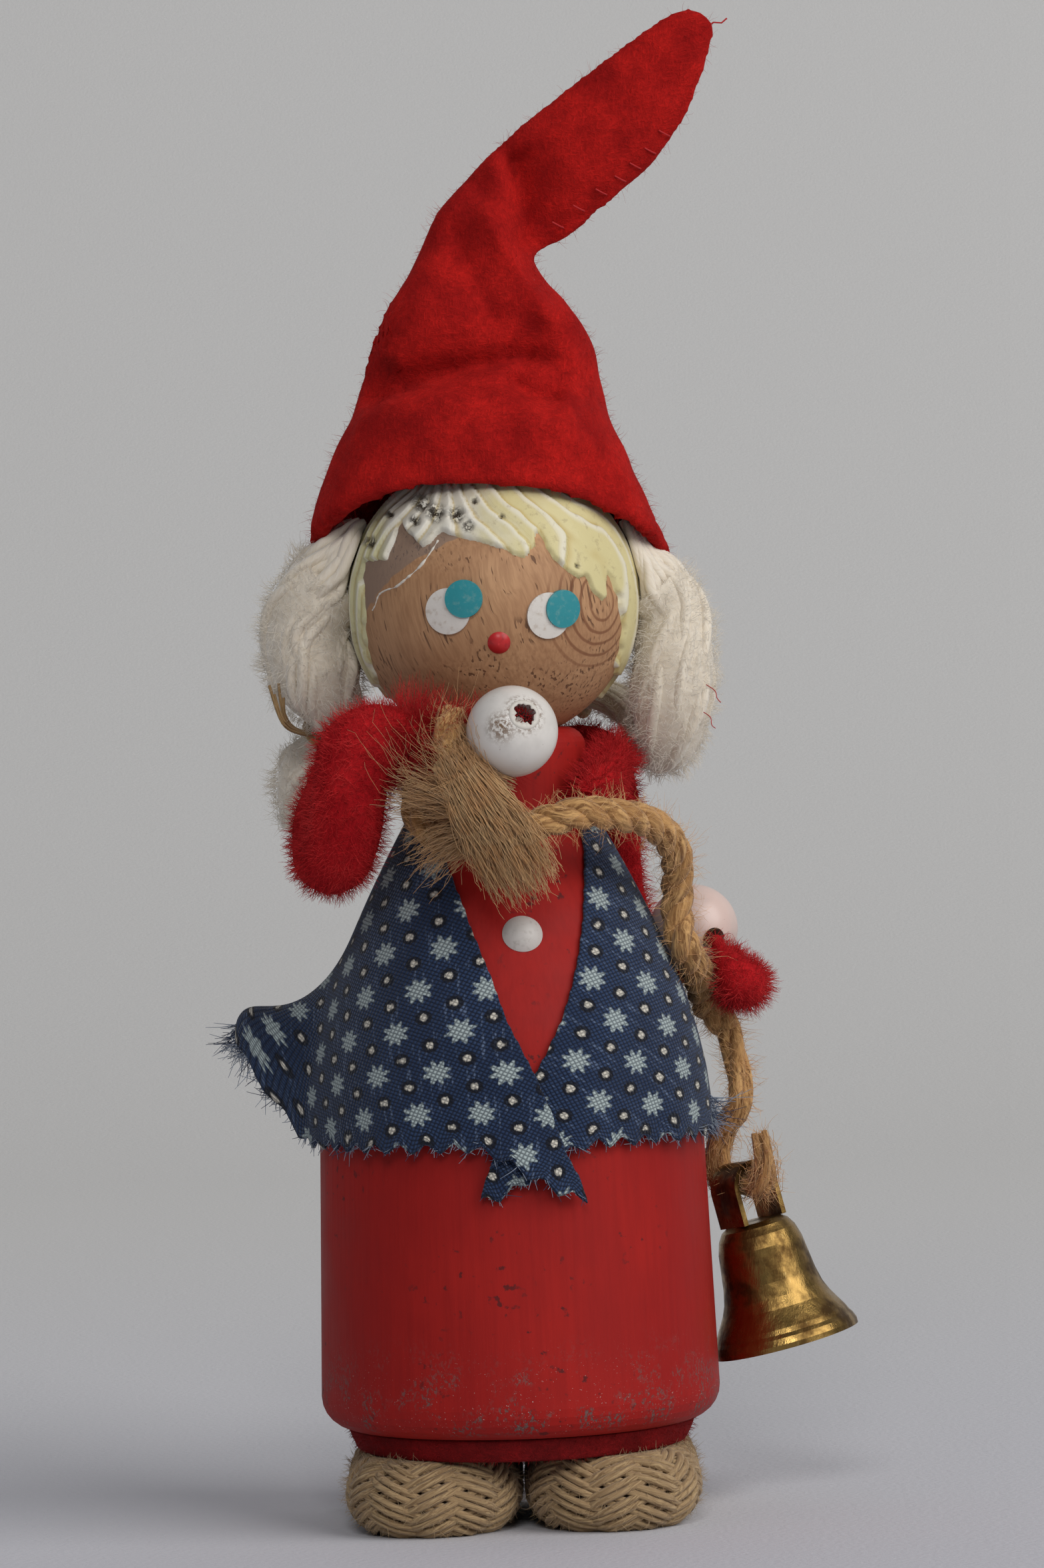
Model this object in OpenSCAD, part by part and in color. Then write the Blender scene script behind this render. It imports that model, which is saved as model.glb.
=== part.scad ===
// Turned wooden peg doll with chenille arms, wool hair, felt hat, cotton
// shawl and a brass bell that hangs from the jute rope in its hands.
// The doll faces -Y and stands on two feet of braided cord at Z = 0, with
// the axis of its turned body on Z. Right and left are the doll's own sides:
// its right arm lies towards -X.

/* [Turned body] */
// Height of the turned body, from the foot of the skirt to the neck rim
body_h = 76.1; // [72:0.1:80]
// Diameter at the foot of the skirt
skirt_d = 43.8; // [42:0.1:44.4]
// Diameter where the straight skirt ends
waist_d = 41.8; // [40:0.1:42.4]
// Height of the straight skirt
skirt_h = 37.6; // [35:0.1:40]
// Diameter of the neck
neck_d = 19.2; // [18:0.1:19.8]
// Radius of the round edge at the foot of the skirt
hem_round = 3.4; // [2.6:0.1:4.2]

/* [Head] */
// Diameter of the wooden ball
head_d = 31; // [29.5:0.1:32]
// Diameter of the dowel that joins head and body
dowel_d = 6; // [4:0.1:8]
// Length of the dowel
dowel_l = 22; // [16:0.5:26]
// Thickness of the painted hair
paint_t = 0.8; // [0.5:0.05:1]
// Diameter of the white of an eye
eye_d = 5; // [4.2:0.1:5.4]
// Diameter of an iris
iris_d = 4.1; // [3.4:0.1:4.6]
// Diameter of the nose
nose_d = 2.45; // [2:0.05:3]
// Diameter of the painted button
button_d = 4.2; // [3.4:0.1:5]

/* [Feet and sole] */
// Thickness of the red felt sole
sole_t = 2.5; // [1.8:0.1:3.5]
// Diameter of the braided cord of the feet
foot_cord_d = 9; // [8.6:0.1:9.4]
// Height of a foot, pressed flat above and below
foot_h = 8.2; // [7.6:0.1:8.5]
// Length of a foot, toe to heel
foot_l = 32; // [28:0.5:36]

/* [Arms and hands] */
// Diameter of the pile on the right forearm
pile_d = 9; // [7.5:0.1:9.2]
// Diameter of the matted pile round the neck and on the left arm
matted_pile_d = 6; // [5:0.1:6.2]
// Diameter of the twisted wire core
wire_d = 1; // [0.7:0.05:1.1]
// Diameter of a bead hand
bead_d = 9.8; // [9:0.1:10]
// Diameter of the hole through a bead
bead_bore_d = 2.7; // [2.4:0.1:3]

/* [Hair] */
// Diameter of a wool bunch at its fullest
bunch_d = 11.2; // [9:0.1:11.6]
// Diameter of the twine round a bunch
twine_d = 1; // [0.7:0.05:1.2]

/* [Hat] */
// Height of the hat from its brim to its tip
hat_h = 58.9; // [50:0.1:66]
// Thickness of the felt
felt_t = 1.2; // [0.9:0.05:1.4]

/* [Shawl] */
// Thickness of the cotton with its fluff
cloth_t = 0.4; // [0.3:0.05:0.5]
// How far the flap behind the right arm stands out
flap_out = 8.5; // [4:0.1:11]

/* [Bell] */
// Diameter of the mouth
bell_d = 16.5; // [15.4:0.1:16.8]
// Height from the mouth to the crown
bell_h = 13.8; // [12.5:0.1:15]
// Thickness of the wall
bell_wall = 0.8; // [0.6:0.05:1]
// Width of the strip that makes the loop
loop_w = 4.6; // [4:0.1:4.8]
// Thickness of that strip
loop_t = 0.6; // [0.5:0.05:0.7]
// Diameter of the clapper's ball
clapper_d = 4.2; // [3.4:0.1:4.4]
// Length of the clapper, from its pivot to the middle of its ball
clapper_l = 9.2; // [8:0.1:9.8]

/* [Hidden] */

// Clearances between pieces
glue_gap = 0.04;
soft_gap = 0.3;
dowel_gap = 0.05;
core_gap = 0.05;
overrun = 1;

// Facets of round shapes and of swept ones
round_fn = 72;
fine_fn = 4 * round_fn;
pile_sides = 10;
cord_sides = 8;
arm_steps = 2;

// Radii
skirt_r = skirt_d / 2;
waist_r = waist_d / 2;
neck_r = neck_d / 2;
head_r = head_d / 2;
foot_r = foot_cord_d / 2;
bead_r = bead_d / 2;
wire_r = wire_d / 2;
bell_r = bell_d / 2;

// Heights of the turned body, with its dome between waist and throat
body_z = foot_h + sole_t;
waist_z = body_z + skirt_h;
neck_z = body_z + body_h;
throat_height_share = 0.76;
throat_z = waist_z + throat_height_share * (neck_z - waist_z);
throat_width_share = 0.98;
throat_r = throat_width_share * neck_r;
dome_curve = 1.46;
dome_steps = 14;
round_steps = 6;
// The neck rounds over to a narrow land round the dish that seats the head
neck_round_share = 0.24;
neck_round = neck_round_share * neck_r;
rim_land = 0.4;
dish_rim_r = neck_r - neck_round - rim_land;

// The head's ball sits in that dish
dish_r = head_r + glue_gap;
head_z = neck_z + sqrt(dish_r * dish_r - dish_rim_r * dish_rim_r);
crown_r = head_r + paint_t;

function body_r(z) =
    z < waist_z ? skirt_r + (waist_r - skirt_r) * max(z - body_z, 0) / skirt_h
    : z < throat_z ? waist_r - (waist_r - throat_r)
        * pow((z - waist_z) / (throat_z - waist_z), dome_curve)
    : neck_r;

// Arc of a circle of radius r round c, in the plane
function arc(c, r, from, to, steps) =
    [for (k = [0 : steps]) let (a = from + (to - from) * k / steps) c + r * [cos(a), sin(a)]];

// Curves: a smooth line through points, and the directions along it
function unit(v) = v / norm(v);
function curve_at(p, t) =
    let (last = len(p) - 1, i = min(floor(t), last - 1), f = t - i,
         a = p[max(i - 1, 0)], b = p[i], c = p[i + 1], d = p[min(i + 2, last)])
    b + f * ((c - a) / 2 + f * (a - 2.5 * b + 2 * c - d / 2 + f * (1.5 * (b - c) + (d - a) / 2)));
function curve(p, steps) = [for (k = [0 : steps * (len(p) - 1)]) curve_at(p, k / steps)];
function headings(p) =
    [for (i = [0 : len(p) - 1]) unit(p[min(i + 1, len(p) - 1)] - p[max(i - 1, 0)])];
function sideways(t, u, i = 0) =
    i == len(t) ? [] : let (v = unit(u - (u * t[i]) * t[i])) concat([v], sideways(t, v, i + 1));
function reversed(p) = [for (i = [len(p) - 1 : -1 : 0]) p[i]];
function part_of(p, from, to) = [for (i = [from : to]) p[i]];

// Rings of a tube of radii r along the line p, with n points each
function ring(c, t, u, r, n) =
    [for (k = [0 : n - 1]) c + r * (cos(360 * k / n) * u + sin(360 * k / n) * cross(t, u))];
function tube_rings(p, r, n, u = [0, 0, 1]) =
    let (t = headings(p), s = sideways(t, u))
    [for (i = [0 : len(p) - 1]) ring(p[i], t[i], s[i], r[i], n)];

// Faces of a stack of m rings of n points whose first point is number o
function wall_faces(m, n, o = 0, inward = false) =
    [for (i = [0 : m - 2], k = [0 : n - 1])
        let (a = o + i * n + k, b = o + i * n + (k + 1) % n, c = a + n, d = b + n)
        each inward ? [[a, d, c], [a, b, d]] : [[a, c, d], [a, d, b]]];
function cap_faces(n, o, inward) =
    [for (k = [1 : n - 2]) inward ? [o, o + k + 1, o + k] : [o, o + k, o + k + 1]];

// A closed skin over a stack of rings
module skin(rings) {
    m = len(rings);
    n = len(rings[0]);
    polyhedron([for (r = rings) each r],
        concat(cap_faces(n, 0, false), wall_faces(m, n), cap_faces(n, (m - 1) * n, true)));
}

// A sleeve between outer and inner rings, open at both ends
module sleeve(outer, inner) {
    m = len(outer);
    n = len(outer[0]);
    o = m * n;
    polyhedron(concat([for (r = outer) each r], [for (r = inner) each r]),
        concat(wall_faces(m, n), wall_faces(m, n, o, true),
            [for (k = [0 : n - 1]) let (j = (k + 1) % n)
                each [[k, j, o + j], [k, o + j, o + k]]],
            [for (k = [0 : n - 1]) let (j = (k + 1) % n, e = o - n, f = o + o - n)
                each [[e + k, f + j, e + j], [e + k, f + k, f + j]]]));
}

// Turns the Z axis to a direction
module towards(v) {
    rotate([0, acos(v[2] / norm(v)), atan2(v[1], v[0])]) children();
}

// Feet: each is a hairpin of braided cord with its bend in front
foot_gap = 0.15;
leg_gap = 1.2;
bend_r = foot_r + leg_gap / 2;
foot_x = bend_r + foot_r + foot_gap;
toe_y = -18;
heel_y = toe_y + foot_l;
bend_y = toe_y + foot_r + bend_r;
foot_mid_z = foot_h / 2;

module foot_at(x) {
    color("#b59f78")
    intersection() {
        translate([x, bend_y, foot_mid_z])
        union() {
            rotate([0, 0, 180])
                rotate_extrude(angle = 180, $fn = round_fn)
                    translate([bend_r, 0]) circle(foot_r, $fn = round_fn / 2);
            for (side = [-1, 1])
                translate([side * bend_r, 0, 0])
                    rotate([-90, 0, 0])
                        cylinder(r = foot_r, h = heel_y - bend_y, $fn = round_fn / 2);
        }
        translate([x - foot_x, toe_y - overrun, 0])
            cube([2 * foot_x, foot_l + 2 * overrun, foot_h]);
    }
}

module foot_right() { foot_at(-foot_x); }
module foot_left() { foot_at(foot_x); }

// Felt sole between the feet and the body, a little wider above than below
sole_top_share = 0.87;
sole_foot_share = 0.82;

module base_disc() {
    color("#a3272b")
    translate([0, 0, foot_h])
        cylinder(r1 = sole_foot_share * skirt_r, r2 = sole_top_share * skirt_r, h = sole_t,
            $fn = round_fn);
}

// Turned body: skirt, dome, neck, the dish for the head and a blind bore
function dome_line() =
    [for (k = [0 : dome_steps])
        let (z = waist_z + k / dome_steps * (throat_z - waist_z)) [body_r(z), z]];

function turned_line() = concat(
    [[0, body_z]],
    arc([skirt_r - hem_round, body_z + hem_round], hem_round, -90, 0, round_steps),
    dome_line(),
    arc([neck_r - neck_round, neck_z - neck_round], neck_round, 0, 90, round_steps),
    [[0, neck_z]]);

module turned_shape(fn = round_fn, grow = 0) {
    rotate_extrude($fn = fn)
        polygon([for (p = turned_line()) p[0] > 0 ? p + [grow, 0] : p]);
}

module dowel_bore() {
    translate([0, 0, neck_z - dowel_l / 2 - soft_gap])
        cylinder(r = dowel_d / 2 + dowel_gap, h = dowel_l + 2 * soft_gap, $fn = round_fn / 2);
}

module body() {
    color("#a8322f")
    difference() {
        turned_shape();
        translate([0, 0, head_z]) sphere(dish_r, $fn = round_fn);
        dowel_bore();
    }
}

module neck_dowel() {
    color("#c9a06c")
    translate([0, 0, neck_z - dowel_l / 2])
        cylinder(d = dowel_d, h = dowel_l, $fn = round_fn / 2);
}

// Head: a wooden ball on the dowel
module head() {
    color("#b98e6a")
    difference() {
        translate([0, 0, head_z]) sphere(head_r, $fn = round_fn);
        dowel_bore();
    }
}

// Painted hair: a thin skin on the ball, open round the face and below the
// nape. Its edge runs from the right cheek over the fringe to the left cheek.
nape_share = -0.7;
face_edge_share = [
    [-0.7, -1.2], [-0.78, -0.65], [-0.85, -0.4], [-0.85, 0.27], [-0.7, 0.33], [-0.64, 0.49],
    [-0.5, 0.38], [-0.36, 0.47], [-0.2, 0.44], [-0.03, 0.4], [0.19, 0.29], [0.28, 0.42],
    [0.41, 0.33], [0.52, 0.2], [0.61, 0.16], [0.7, -0.02], [0.76, 0], [0.81, 0.1],
    [0.86, -0.02], [0.86, -0.42], [0.8, -0.65], [0.7, -1.2]
];

module hair_paint() {
    color("#e9e6b8")
    translate([0, 0, head_z])
    difference() {
        sphere(crown_r, $fn = round_fn);
        sphere(head_r + glue_gap, $fn = round_fn);
        rotate([90, 0, 0])
            linear_extrude(height = crown_r + overrun)
                polygon(head_r * face_edge_share);
        translate([0, 0, nape_share * head_r - crown_r])
            cube([2 * crown_r + overrun, 2 * crown_r + overrun, 2 * crown_r], center = true);
    }
}

// Marks painted on the ball, each placed by its share of the radius to the
// left and up from the middle of the face
white_place_share = [[-0.315, -0.068], [0.384, -0.122]];
iris_place_share = [[-0.199, 0.014], [0.478, -0.077]];
nose_place_share = [0.033, -0.299];
coat_t = 0.22;

function face_way(p) = [p[0], -sqrt(1 - p[0] * p[0] - p[1] * p[1]), p[1]];

module face_marks(places, d, outer_r) {
    intersection() {
        difference() {
            sphere(outer_r, $fn = round_fn);
            sphere(head_r + glue_gap, $fn = round_fn);
        }
        union()
            for (p = places)
                towards(face_way(p)) cylinder(d = d, h = outer_r + overrun, $fn = round_fn / 2);
    }
}

module eye_whites() {
    color("#e8e8e2")
    translate([0, 0, head_z])
        face_marks(white_place_share, eye_d, head_r + glue_gap + coat_t);
}

module eye_irises() {
    color("#2f9aa0")
    translate([0, 0, head_z])
    difference() {
        face_marks(iris_place_share, iris_d, head_r + glue_gap + 2 * coat_t);
        face_marks(white_place_share, eye_d + glue_gap, head_r + 2 * glue_gap + coat_t);
    }
}

// A drop of thick paint: the cap of a ball that sinks into what it lies on
drop_sink_share = 0.66;

module paint_drop(d) {
    ball_r = d / 2 / sqrt(1 - drop_sink_share * drop_sink_share);
    translate([0, 0, -drop_sink_share * ball_r]) sphere(ball_r, $fn = fine_fn);
}

module nose_dot() {
    color("#b8332c")
    translate([0, 0, head_z])
    difference() {
        towards(face_way(nose_place_share)) translate([0, 0, head_r]) paint_drop(nose_d);
        sphere(head_r + glue_gap, $fn = fine_fn);
    }
}

// Painted button on the breast, square to the dome where it lies
button_turn = 7;
button_height_share = 0.428;
button_z = waist_z + button_height_share * (neck_z - waist_z);
button_rise = atan((body_r(button_z) - body_r(button_z + button_d / 2)) / (button_d / 2));

module button_dot() {
    color("#e4e2d8")
    difference() {
        rotate([0, 0, button_turn])
            translate([0, -body_r(button_z), button_z])
                rotate([90 - button_rise, 0, 0])
                    paint_drop(button_d);
        turned_shape(fine_fn, glue_gap);
    }
}

// Arms: one chenille stem runs from hand to hand behind the neck. Its places
// are an angle from the left side round the back, how far out from the neck
// as a share of the reach, and the height as a share of the body's. The reach
// lets the left hand's bead just clear the shawl on the dome.
pile_r = pile_d / 2;
matted_r = matted_pile_d / 2;
wrap_r = neck_r + matted_r + soft_gap;
right_hand_share = [274.5, 0.373, 0.997];
left_hand_share = [22.2, 0.488, 0.697];
hand_gap = 1.022;

// Least distance from the axis at which a ball of radius by clears the dome
function clear_r(z, by) =
    max([for (k = [-4 : 4]) let (h = k / 4) body_r(z + h * by) + by * sqrt(1 - h * h)]);

reach = (clear_r(body_z + left_hand_share[2] * body_h, bead_r) + hand_gap - wrap_r)
    / left_hand_share[1];

function around(p) =
    let (r = wrap_r + p[1] * reach, z = body_z + p[2] * body_h) [r * cos(p[0]), r * sin(p[0]), z];

right_arm_share = [
    [256, 0.18, 0.975], [243, 0.27, 1], [231, 0.38, 1], [223, 0.485, 0.964],
    [220.5, 0.525, 0.9], [217, 0.53, 0.842], [208, 0.5, 0.818], [197.5, 0.445, 0.874],
    [181.5, 0.23, 0.95], [154.5, 0.05, 0.955], [122.5, 0.01, 0.955]
];
nape_place_share = [90, 0, 0.946];
left_arm_share = [
    [60, 0.01, 0.96], [31.5, 0.01, 0.966], [31, 0.09, 0.9], [38, 0.167, 0.835],
    [46, 0.29, 0.762], [49.5, 0.507, 0.677], [39.7, 0.687, 0.644], [28.4, 0.776, 0.624],
    [17, 0.735, 0.616], [6.5, 0.673, 0.614], [-0.9, 0.635, 0.625], [3, 0.536, 0.668]
];
right_hand_way_share = [0.28, -0.88, 0.38];
left_hand_way_share = [-0.43, 0.87, 0.24];
tip_share = 0.6;

function wrist(hand_share, way) = around(hand_share) - (bead_r + soft_gap) * unit(way);
function wire_tip(hand_share, way) = around(hand_share) + tip_share * bead_r * unit(way);

arms_route = concat(
    [wire_tip(right_hand_share, right_hand_way_share), wrist(right_hand_share, right_hand_way_share)],
    [for (p = right_arm_share) around(p)],
    [around(nape_place_share)],
    [for (p = left_arm_share) around(p)],
    [wrist(left_hand_share, left_hand_way_share), wire_tip(left_hand_share, left_hand_way_share)]);

// Pile radii at the same places: right forearm in shares of the full pile,
// the rest in shares of the matted one, thin where the rope and hands grip it
right_pile_share = [0.25, 0.25, 0.25, 0.44, 0.9, 1, 1, 0.98, 0.96, 0.9];
matted_pile_share = [1.17, 1.05, 1, 1, 1, 1, 1.03, 1.03, 1.03, 1, 0.97, 0.93, 0.9, 0.95, 1.03,
    0.38, 0.36, 0.36];
arms_radii = concat(pile_r * right_pile_share, matted_r * matted_pile_share);
nape_index = len(right_arm_share) + 2;
arms_line = curve(arms_route, arm_steps);
pile_radii = curve(arms_radii, arm_steps);
from_wrist = arm_steps;
at_nape = nape_index * arm_steps;
to_wrist = len(arms_line) - 1 - arm_steps;

module arm_pile(from, to) {
    outer = tube_rings(arms_line, pile_radii, pile_sides);
    inner = tube_rings(arms_line, [for (p = arms_line) wire_r + core_gap], pile_sides);
    sleeve(part_of(outer, from, to), part_of(inner, from, to));
}

module arm_wire() {
    color("#6d6a64") skin(tube_rings(arms_line, [for (p = arms_line) wire_r], pile_sides));
}

module arm_right() {
    color("#b3242b") arm_pile(from_wrist, at_nape);
}

module arm_left() {
    color("#b3242b") arm_pile(at_nape, to_wrist);
}

// Hands: bored wooden beads on the ends of the wire
module hand(place_share, way) {
    color("#d9d7d4")
    translate(around(place_share))
    towards(way)
    difference() {
        sphere(bead_r, $fn = round_fn);
        cylinder(d = bead_bore_d, h = bead_d + 2 * overrun, center = true, $fn = round_fn / 2);
    }
}

module hand_right() { hand(right_hand_share, right_hand_way_share); }
module hand_left() { hand(left_hand_share, left_hand_way_share); }

// Wool bunches beside the head, tied with twine. Places are shares of the
// crown's radius from the middle of the head.
bunch_steps = 2;
bunch_sides = 16;
bunch_r = bunch_d / 2;
right_bunch_share = [
    [-0.95, 0.18, 0.5], [-1.01, 0.17, 0.38], [-1.15, 0.16, 0.16], [-1.25, 0.17, -0.12],
    [-1.22, 0.21, -0.42], [-1.14, 0.3, -0.66], [-1.14, 0.43, -0.84], [-1.3, 0.68, -1.12],
    [-1.38, 0.82, -1.48]
];
right_bunch_radii_share = [0.34, 0.38, 0.68, 0.95, 0.97, 0.7, 0.36, 0.68, 0.45];
left_bunch_share = [
    [0.92, 0.14, 0.45], [0.95, 0.14, 0.31], [1.07, 0.13, 0.14], [1.19, 0.13, -0.1],
    [1.21, 0.13, -0.38], [1.18, 0.16, -0.68], [1.13, 0.32, -0.97], [1.03, 0.58, -0.98],
    [0.88, 0.73, -0.74], [0.6, 0.83, -0.63], [0.36, 0.92, -0.68]
];
left_bunch_radii_share = [0.3, 0.31, 0.54, 0.74, 0.84, 0.85, 0.7, 0.48, 0.38, 0.33, 0.42];
right_tie_index = 6;
left_tie_index = 9;

function by_head(p) = [0, 0, head_z] + crown_r * p;

module bunch(places, radii) {
    line = curve([for (p = places) by_head(p)], bunch_steps);
    color("#e6dfd0")
    difference() {
        skin(tube_rings(line, curve(bunch_r * radii, bunch_steps), bunch_sides, [0, 1, 0]));
        translate([0, 0, head_z]) sphere(crown_r + soft_gap / 2, $fn = round_fn);
    }
}

module bunch_tie(places, radii, i) {
    color("#8f7a52")
    translate(by_head(places[i]))
        towards(places[i + 1] - places[i - 1])
            rotate_extrude($fn = round_fn / 2)
                translate([bunch_r * radii[i] + (twine_d + soft_gap) / 2, 0])
                    circle(d = twine_d, $fn = round_fn / 4);
}

module bunch_right() { bunch(right_bunch_share, right_bunch_radii_share); }
module bunch_left() { bunch(left_bunch_share, left_bunch_radii_share); }
module tie_right() { bunch_tie(right_bunch_share, right_bunch_radii_share, right_tie_index); }
module tie_left() { bunch_tie(left_bunch_share, left_bunch_radii_share, left_tie_index); }

// Hat: a felt cone that fits the crown, bends over to the left and ends in a
// flat double tip. Each row is one level: its right edge, its left edge,
// half its depth, how far its middle lies behind the axis and how far its
// front edge rises. Widths and rises are shares of the fit, heights of the hat.
hat_sides = 32;
hat_fit = crown_r + felt_t + soft_gap;
hat_foot_share = 0.3;
hat_z = head_z + hat_foot_share * hat_fit;
hat_level_share = [
    [-1.14, 0.03, 1.1, -0.01, 0.86, 0.165, 0.42],
    [-1.03, 0.12, 0.97, 0.1, 0.8, 0.145, 0.32],
    [-0.895, 0.225, 0.81, 0.205, 0.67, 0.11, 0.21],
    [-0.79, 0.305, 0.72, 0.3, 0.54, 0.12, 0.1],
    [-0.735, 0.35, 0.69, 0.345, 0.52, 0.07, 0.08],
    [-0.58, 0.455, 0.6, 0.425, 0.43, 0.05, 0.05],
    [-0.4, 0.545, 0.41, 0.495, 0.31, 0.04, 0.02],
    [-0.23, 0.64, 0.31, 0.55, 0.2, 0.03, 0],
    [-0.05, 0.7, 0.5, 0.58, 0.13, 0.02, 0],
    [0.17, 0.765, 0.74, 0.635, 0.105, 0, 0],
    [0.45, 0.83, 0.99, 0.69, 0.1, -0.02, 0],
    [0.75, 0.895, 1.2, 0.76, 0.095, -0.03, 0],
    [1.03, 0.955, 1.34, 0.84, 0.09, -0.04, 0],
    [1.26, 0.998, 1.46, 0.935, 0.07, -0.04, 0],
    [1.4, 0.997, 1.48, 0.968, 0.035, -0.04, 0]
];
hollow_levels = 7;
wall_steps = 2;

function hat_ring(q, inset) =
    let (a = [hat_fit * q[0], 0, hat_z + hat_h * q[1]],
         b = [hat_fit * q[2], 0, hat_z + hat_h * q[3]],
         c = (a + b) / 2 + [0, hat_fit * q[5], 0],
         half = norm(b - a) / 2,
         u = (b - a) / 2 * (half - inset) / half,
         depth = hat_fit * q[4],
         v = [0, -depth, hat_fit * q[6]] * (depth - inset) / depth)
    [for (k = [0 : hat_sides - 1])
        c + cos(360 * k / hat_sides) * u - sin(360 * k / hat_sides) * v];

module hat() {
    levels = curve(hat_level_share, wall_steps);
    color("#c4181f")
    difference() {
        skin([for (q = levels) hat_ring(q, 0)]);
        skin(concat(
            [[for (p = hat_ring(levels[0], felt_t)) p - [0, 0, overrun]]],
            [for (q = part_of(levels, 1, wall_steps * (hollow_levels - 1))) hat_ring(q, felt_t)]));
    }
}

// Shawl: one sheet that wraps the dome, its right front over its left one.
// Rows run from the neck to the hem; each has the angles of its two front
// edges, counted from the front towards the doll's left.
shawl_cols = 60;
shawl_rows = 9;
shawl_top_share = 0.9;
shawl_hem_share = 0.415;
front_point_share = 0.075;
front_point_turn = 30;
right_edge_turns = [-62, -36, -21, -12, -5, 0, 6, 11, 15, 20];
left_edge_turns = [62, 50, 39, 31, 24, 17, 9, 1, -5, -9];
pink_depth = 0.45;
flap_turn = -104;
flap_half_turn = 26;
flap_lift_share = 0.62;
wave_depth = 0.35;
waves = 7;

function bump(x) = abs(x) >= 1 ? 0 : pow(cos(90 * x), 2);
function smooth(x) = let (s = min(max(x, 0), 1)) s * s * (3 - 2 * s);

shawl_top_z = body_z + shawl_top_share * body_h;
shawl_hem_z = body_z + shawl_hem_share * body_h;
front_drop = front_point_share * body_h;
edge_rows = len(right_edge_turns) - 1;

function shawl_turn(s, t) =
    let (right = curve_at(right_edge_turns, t * edge_rows),
         left = curve_at(left_edge_turns, t * edge_rows))
    right + s * (left - 360 - right);
function shawl_point(s, t, col, outside) =
    let (turn = shawl_turn(s, t),
         from_edge = min(s, 1 - s) * 360,
         flap = bump((turn - flap_turn) / flap_half_turn) * smooth(1.6 * t - 0.6),
         point = smooth(1 - from_edge / front_point_turn),
         over = smooth(1 - s * 360 / front_point_turn / 2) * smooth(3 * t - 1.2),
         pinked = t > 0.99 ? (col % 2 == 0 ? pink_depth : -pink_depth) : 0,
         z = shawl_top_z + t * (shawl_hem_z - front_drop * point - shawl_top_z)
             + pinked + flap * flap_lift_share * flap_out,
         wave = wave_depth * t * t * (1 + sin(turn * waves)) * (1 - point),
         r = body_r(z - flap * flap_lift_share * flap_out) + soft_gap
             + over * (cloth_t + glue_gap + soft_gap / 2) + wave + flap * flap_out
             + (outside ? cloth_t : 0))
    [r * sin(turn), -r * cos(turn), z];

module shawl() {
    rows = shawl_rows + 1;
    cols = shawl_cols + 1;
    grid = [for (outside = [true, false], i = [0 : shawl_rows], k = [0 : shawl_cols])
        shawl_point(k / shawl_cols, i / shawl_rows, k, outside)];
    under = rows * cols;
    function at(i, k) = i * cols + k;
    color("#23407c")
    polyhedron(grid, concat(
        [for (i = [0 : shawl_rows - 1], k = [0 : shawl_cols - 1])
            let (a = at(i, k), b = at(i, k + 1), c = at(i + 1, k), d = at(i + 1, k + 1))
            each [[a, c, d], [a, d, b], [under + a, under + d, under + c],
                [under + a, under + b, under + d]]],
        [for (k = [0 : shawl_cols - 1]) let (a = at(0, k), b = at(0, k + 1))
            each [[a, b, under + b], [a, under + b, under + a]]],
        [for (k = [0 : shawl_cols - 1])
            let (a = at(shawl_rows, k), b = at(shawl_rows, k + 1))
            each [[a, under + b, b], [a, under + a, under + b]]],
        [for (i = [0 : shawl_rows - 1]) let (a = at(i, 0), b = at(i + 1, 0))
            each [[a, under + b, b], [a, under + a, under + b]]],
        [for (i = [0 : shawl_rows - 1])
            let (a = at(i, shawl_cols), b = at(i + 1, shawl_cols))
            each [[a, b, under + b], [a, under + b, under + a]]]));
}

// Rope: from its frayed tail under the right hand, once round that wrist,
// across to the crook of the left hand, and down to its eye in the bell's
// loop. Its points are places chosen by hand.
rope_r = 1.85;
strand_r = 1.5;
brush_r = 3.2;
tail_points = [[3.2, -22.2, 69], [0.2, -22.8, 75], [-2.8, -22.8, 80]];
hitch_points = [
    [-5.3, -20.6, 84.6], [-4.9, -18, 88.4], [-4.9, -14.4, 88.9], [-5.6, -11.7, 85.6],
    [-7.6, -11.5, 82.3], [-9, -13.4, 79], [-7.6, -15.6, 76.2], [-4, -16.8, 75], [0.5, -17.5, 75.5]
];
span_points = [
    [4.9, -18.4, 76.8], [9.1, -17.4, 77.6], [13.2, -14.9, 77], [16.5, -11.2, 75.9],
    [18.8, -7.2, 73], [19, -4.2, 69.2], [18.9, -3.6, 65.6], [19.5, -4.2, 62.4],
    [20.9, 0.1, 59.7], [21.5, 4.6, 57.6], [22.2, 8.2, 55.2]
];
bell_out = 3.5;
bell_pivot = [skirt_r + bell_out, 8, 35.5];
eye_points = [
    [-1.8, 2.9, 5.5], [-2.6, 3.8, 2.5], [-2, 2.9, -0.3], [0, 0, 0], [1.9, -2.8, -0.3],
    [2.5, -3.7, 2.5], [1.9, -3, 5.5]
];
drop_points = concat(
    [[24.2, 9.6, 52.9], [25.3, 9, 48.5], [25.4, 9, 44]],
    [for (p = eye_points) bell_pivot + p]);

rope_points = concat(tail_points, hitch_points, span_points, drop_points);
rope_radii = concat([brush_r, (brush_r + rope_r) / 2],
    [for (i = [3 : len(rope_points) - len(drop_points)]) rope_r], [for (p = drop_points) strand_r]);
hitch_from = len(tail_points);
span_from = hitch_from + len(hitch_points);
drop_from = span_from + len(span_points);

module rope(from, to) {
    skin(part_of(tube_rings(rope_points, rope_radii, cord_sides), from, to));
}

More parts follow.
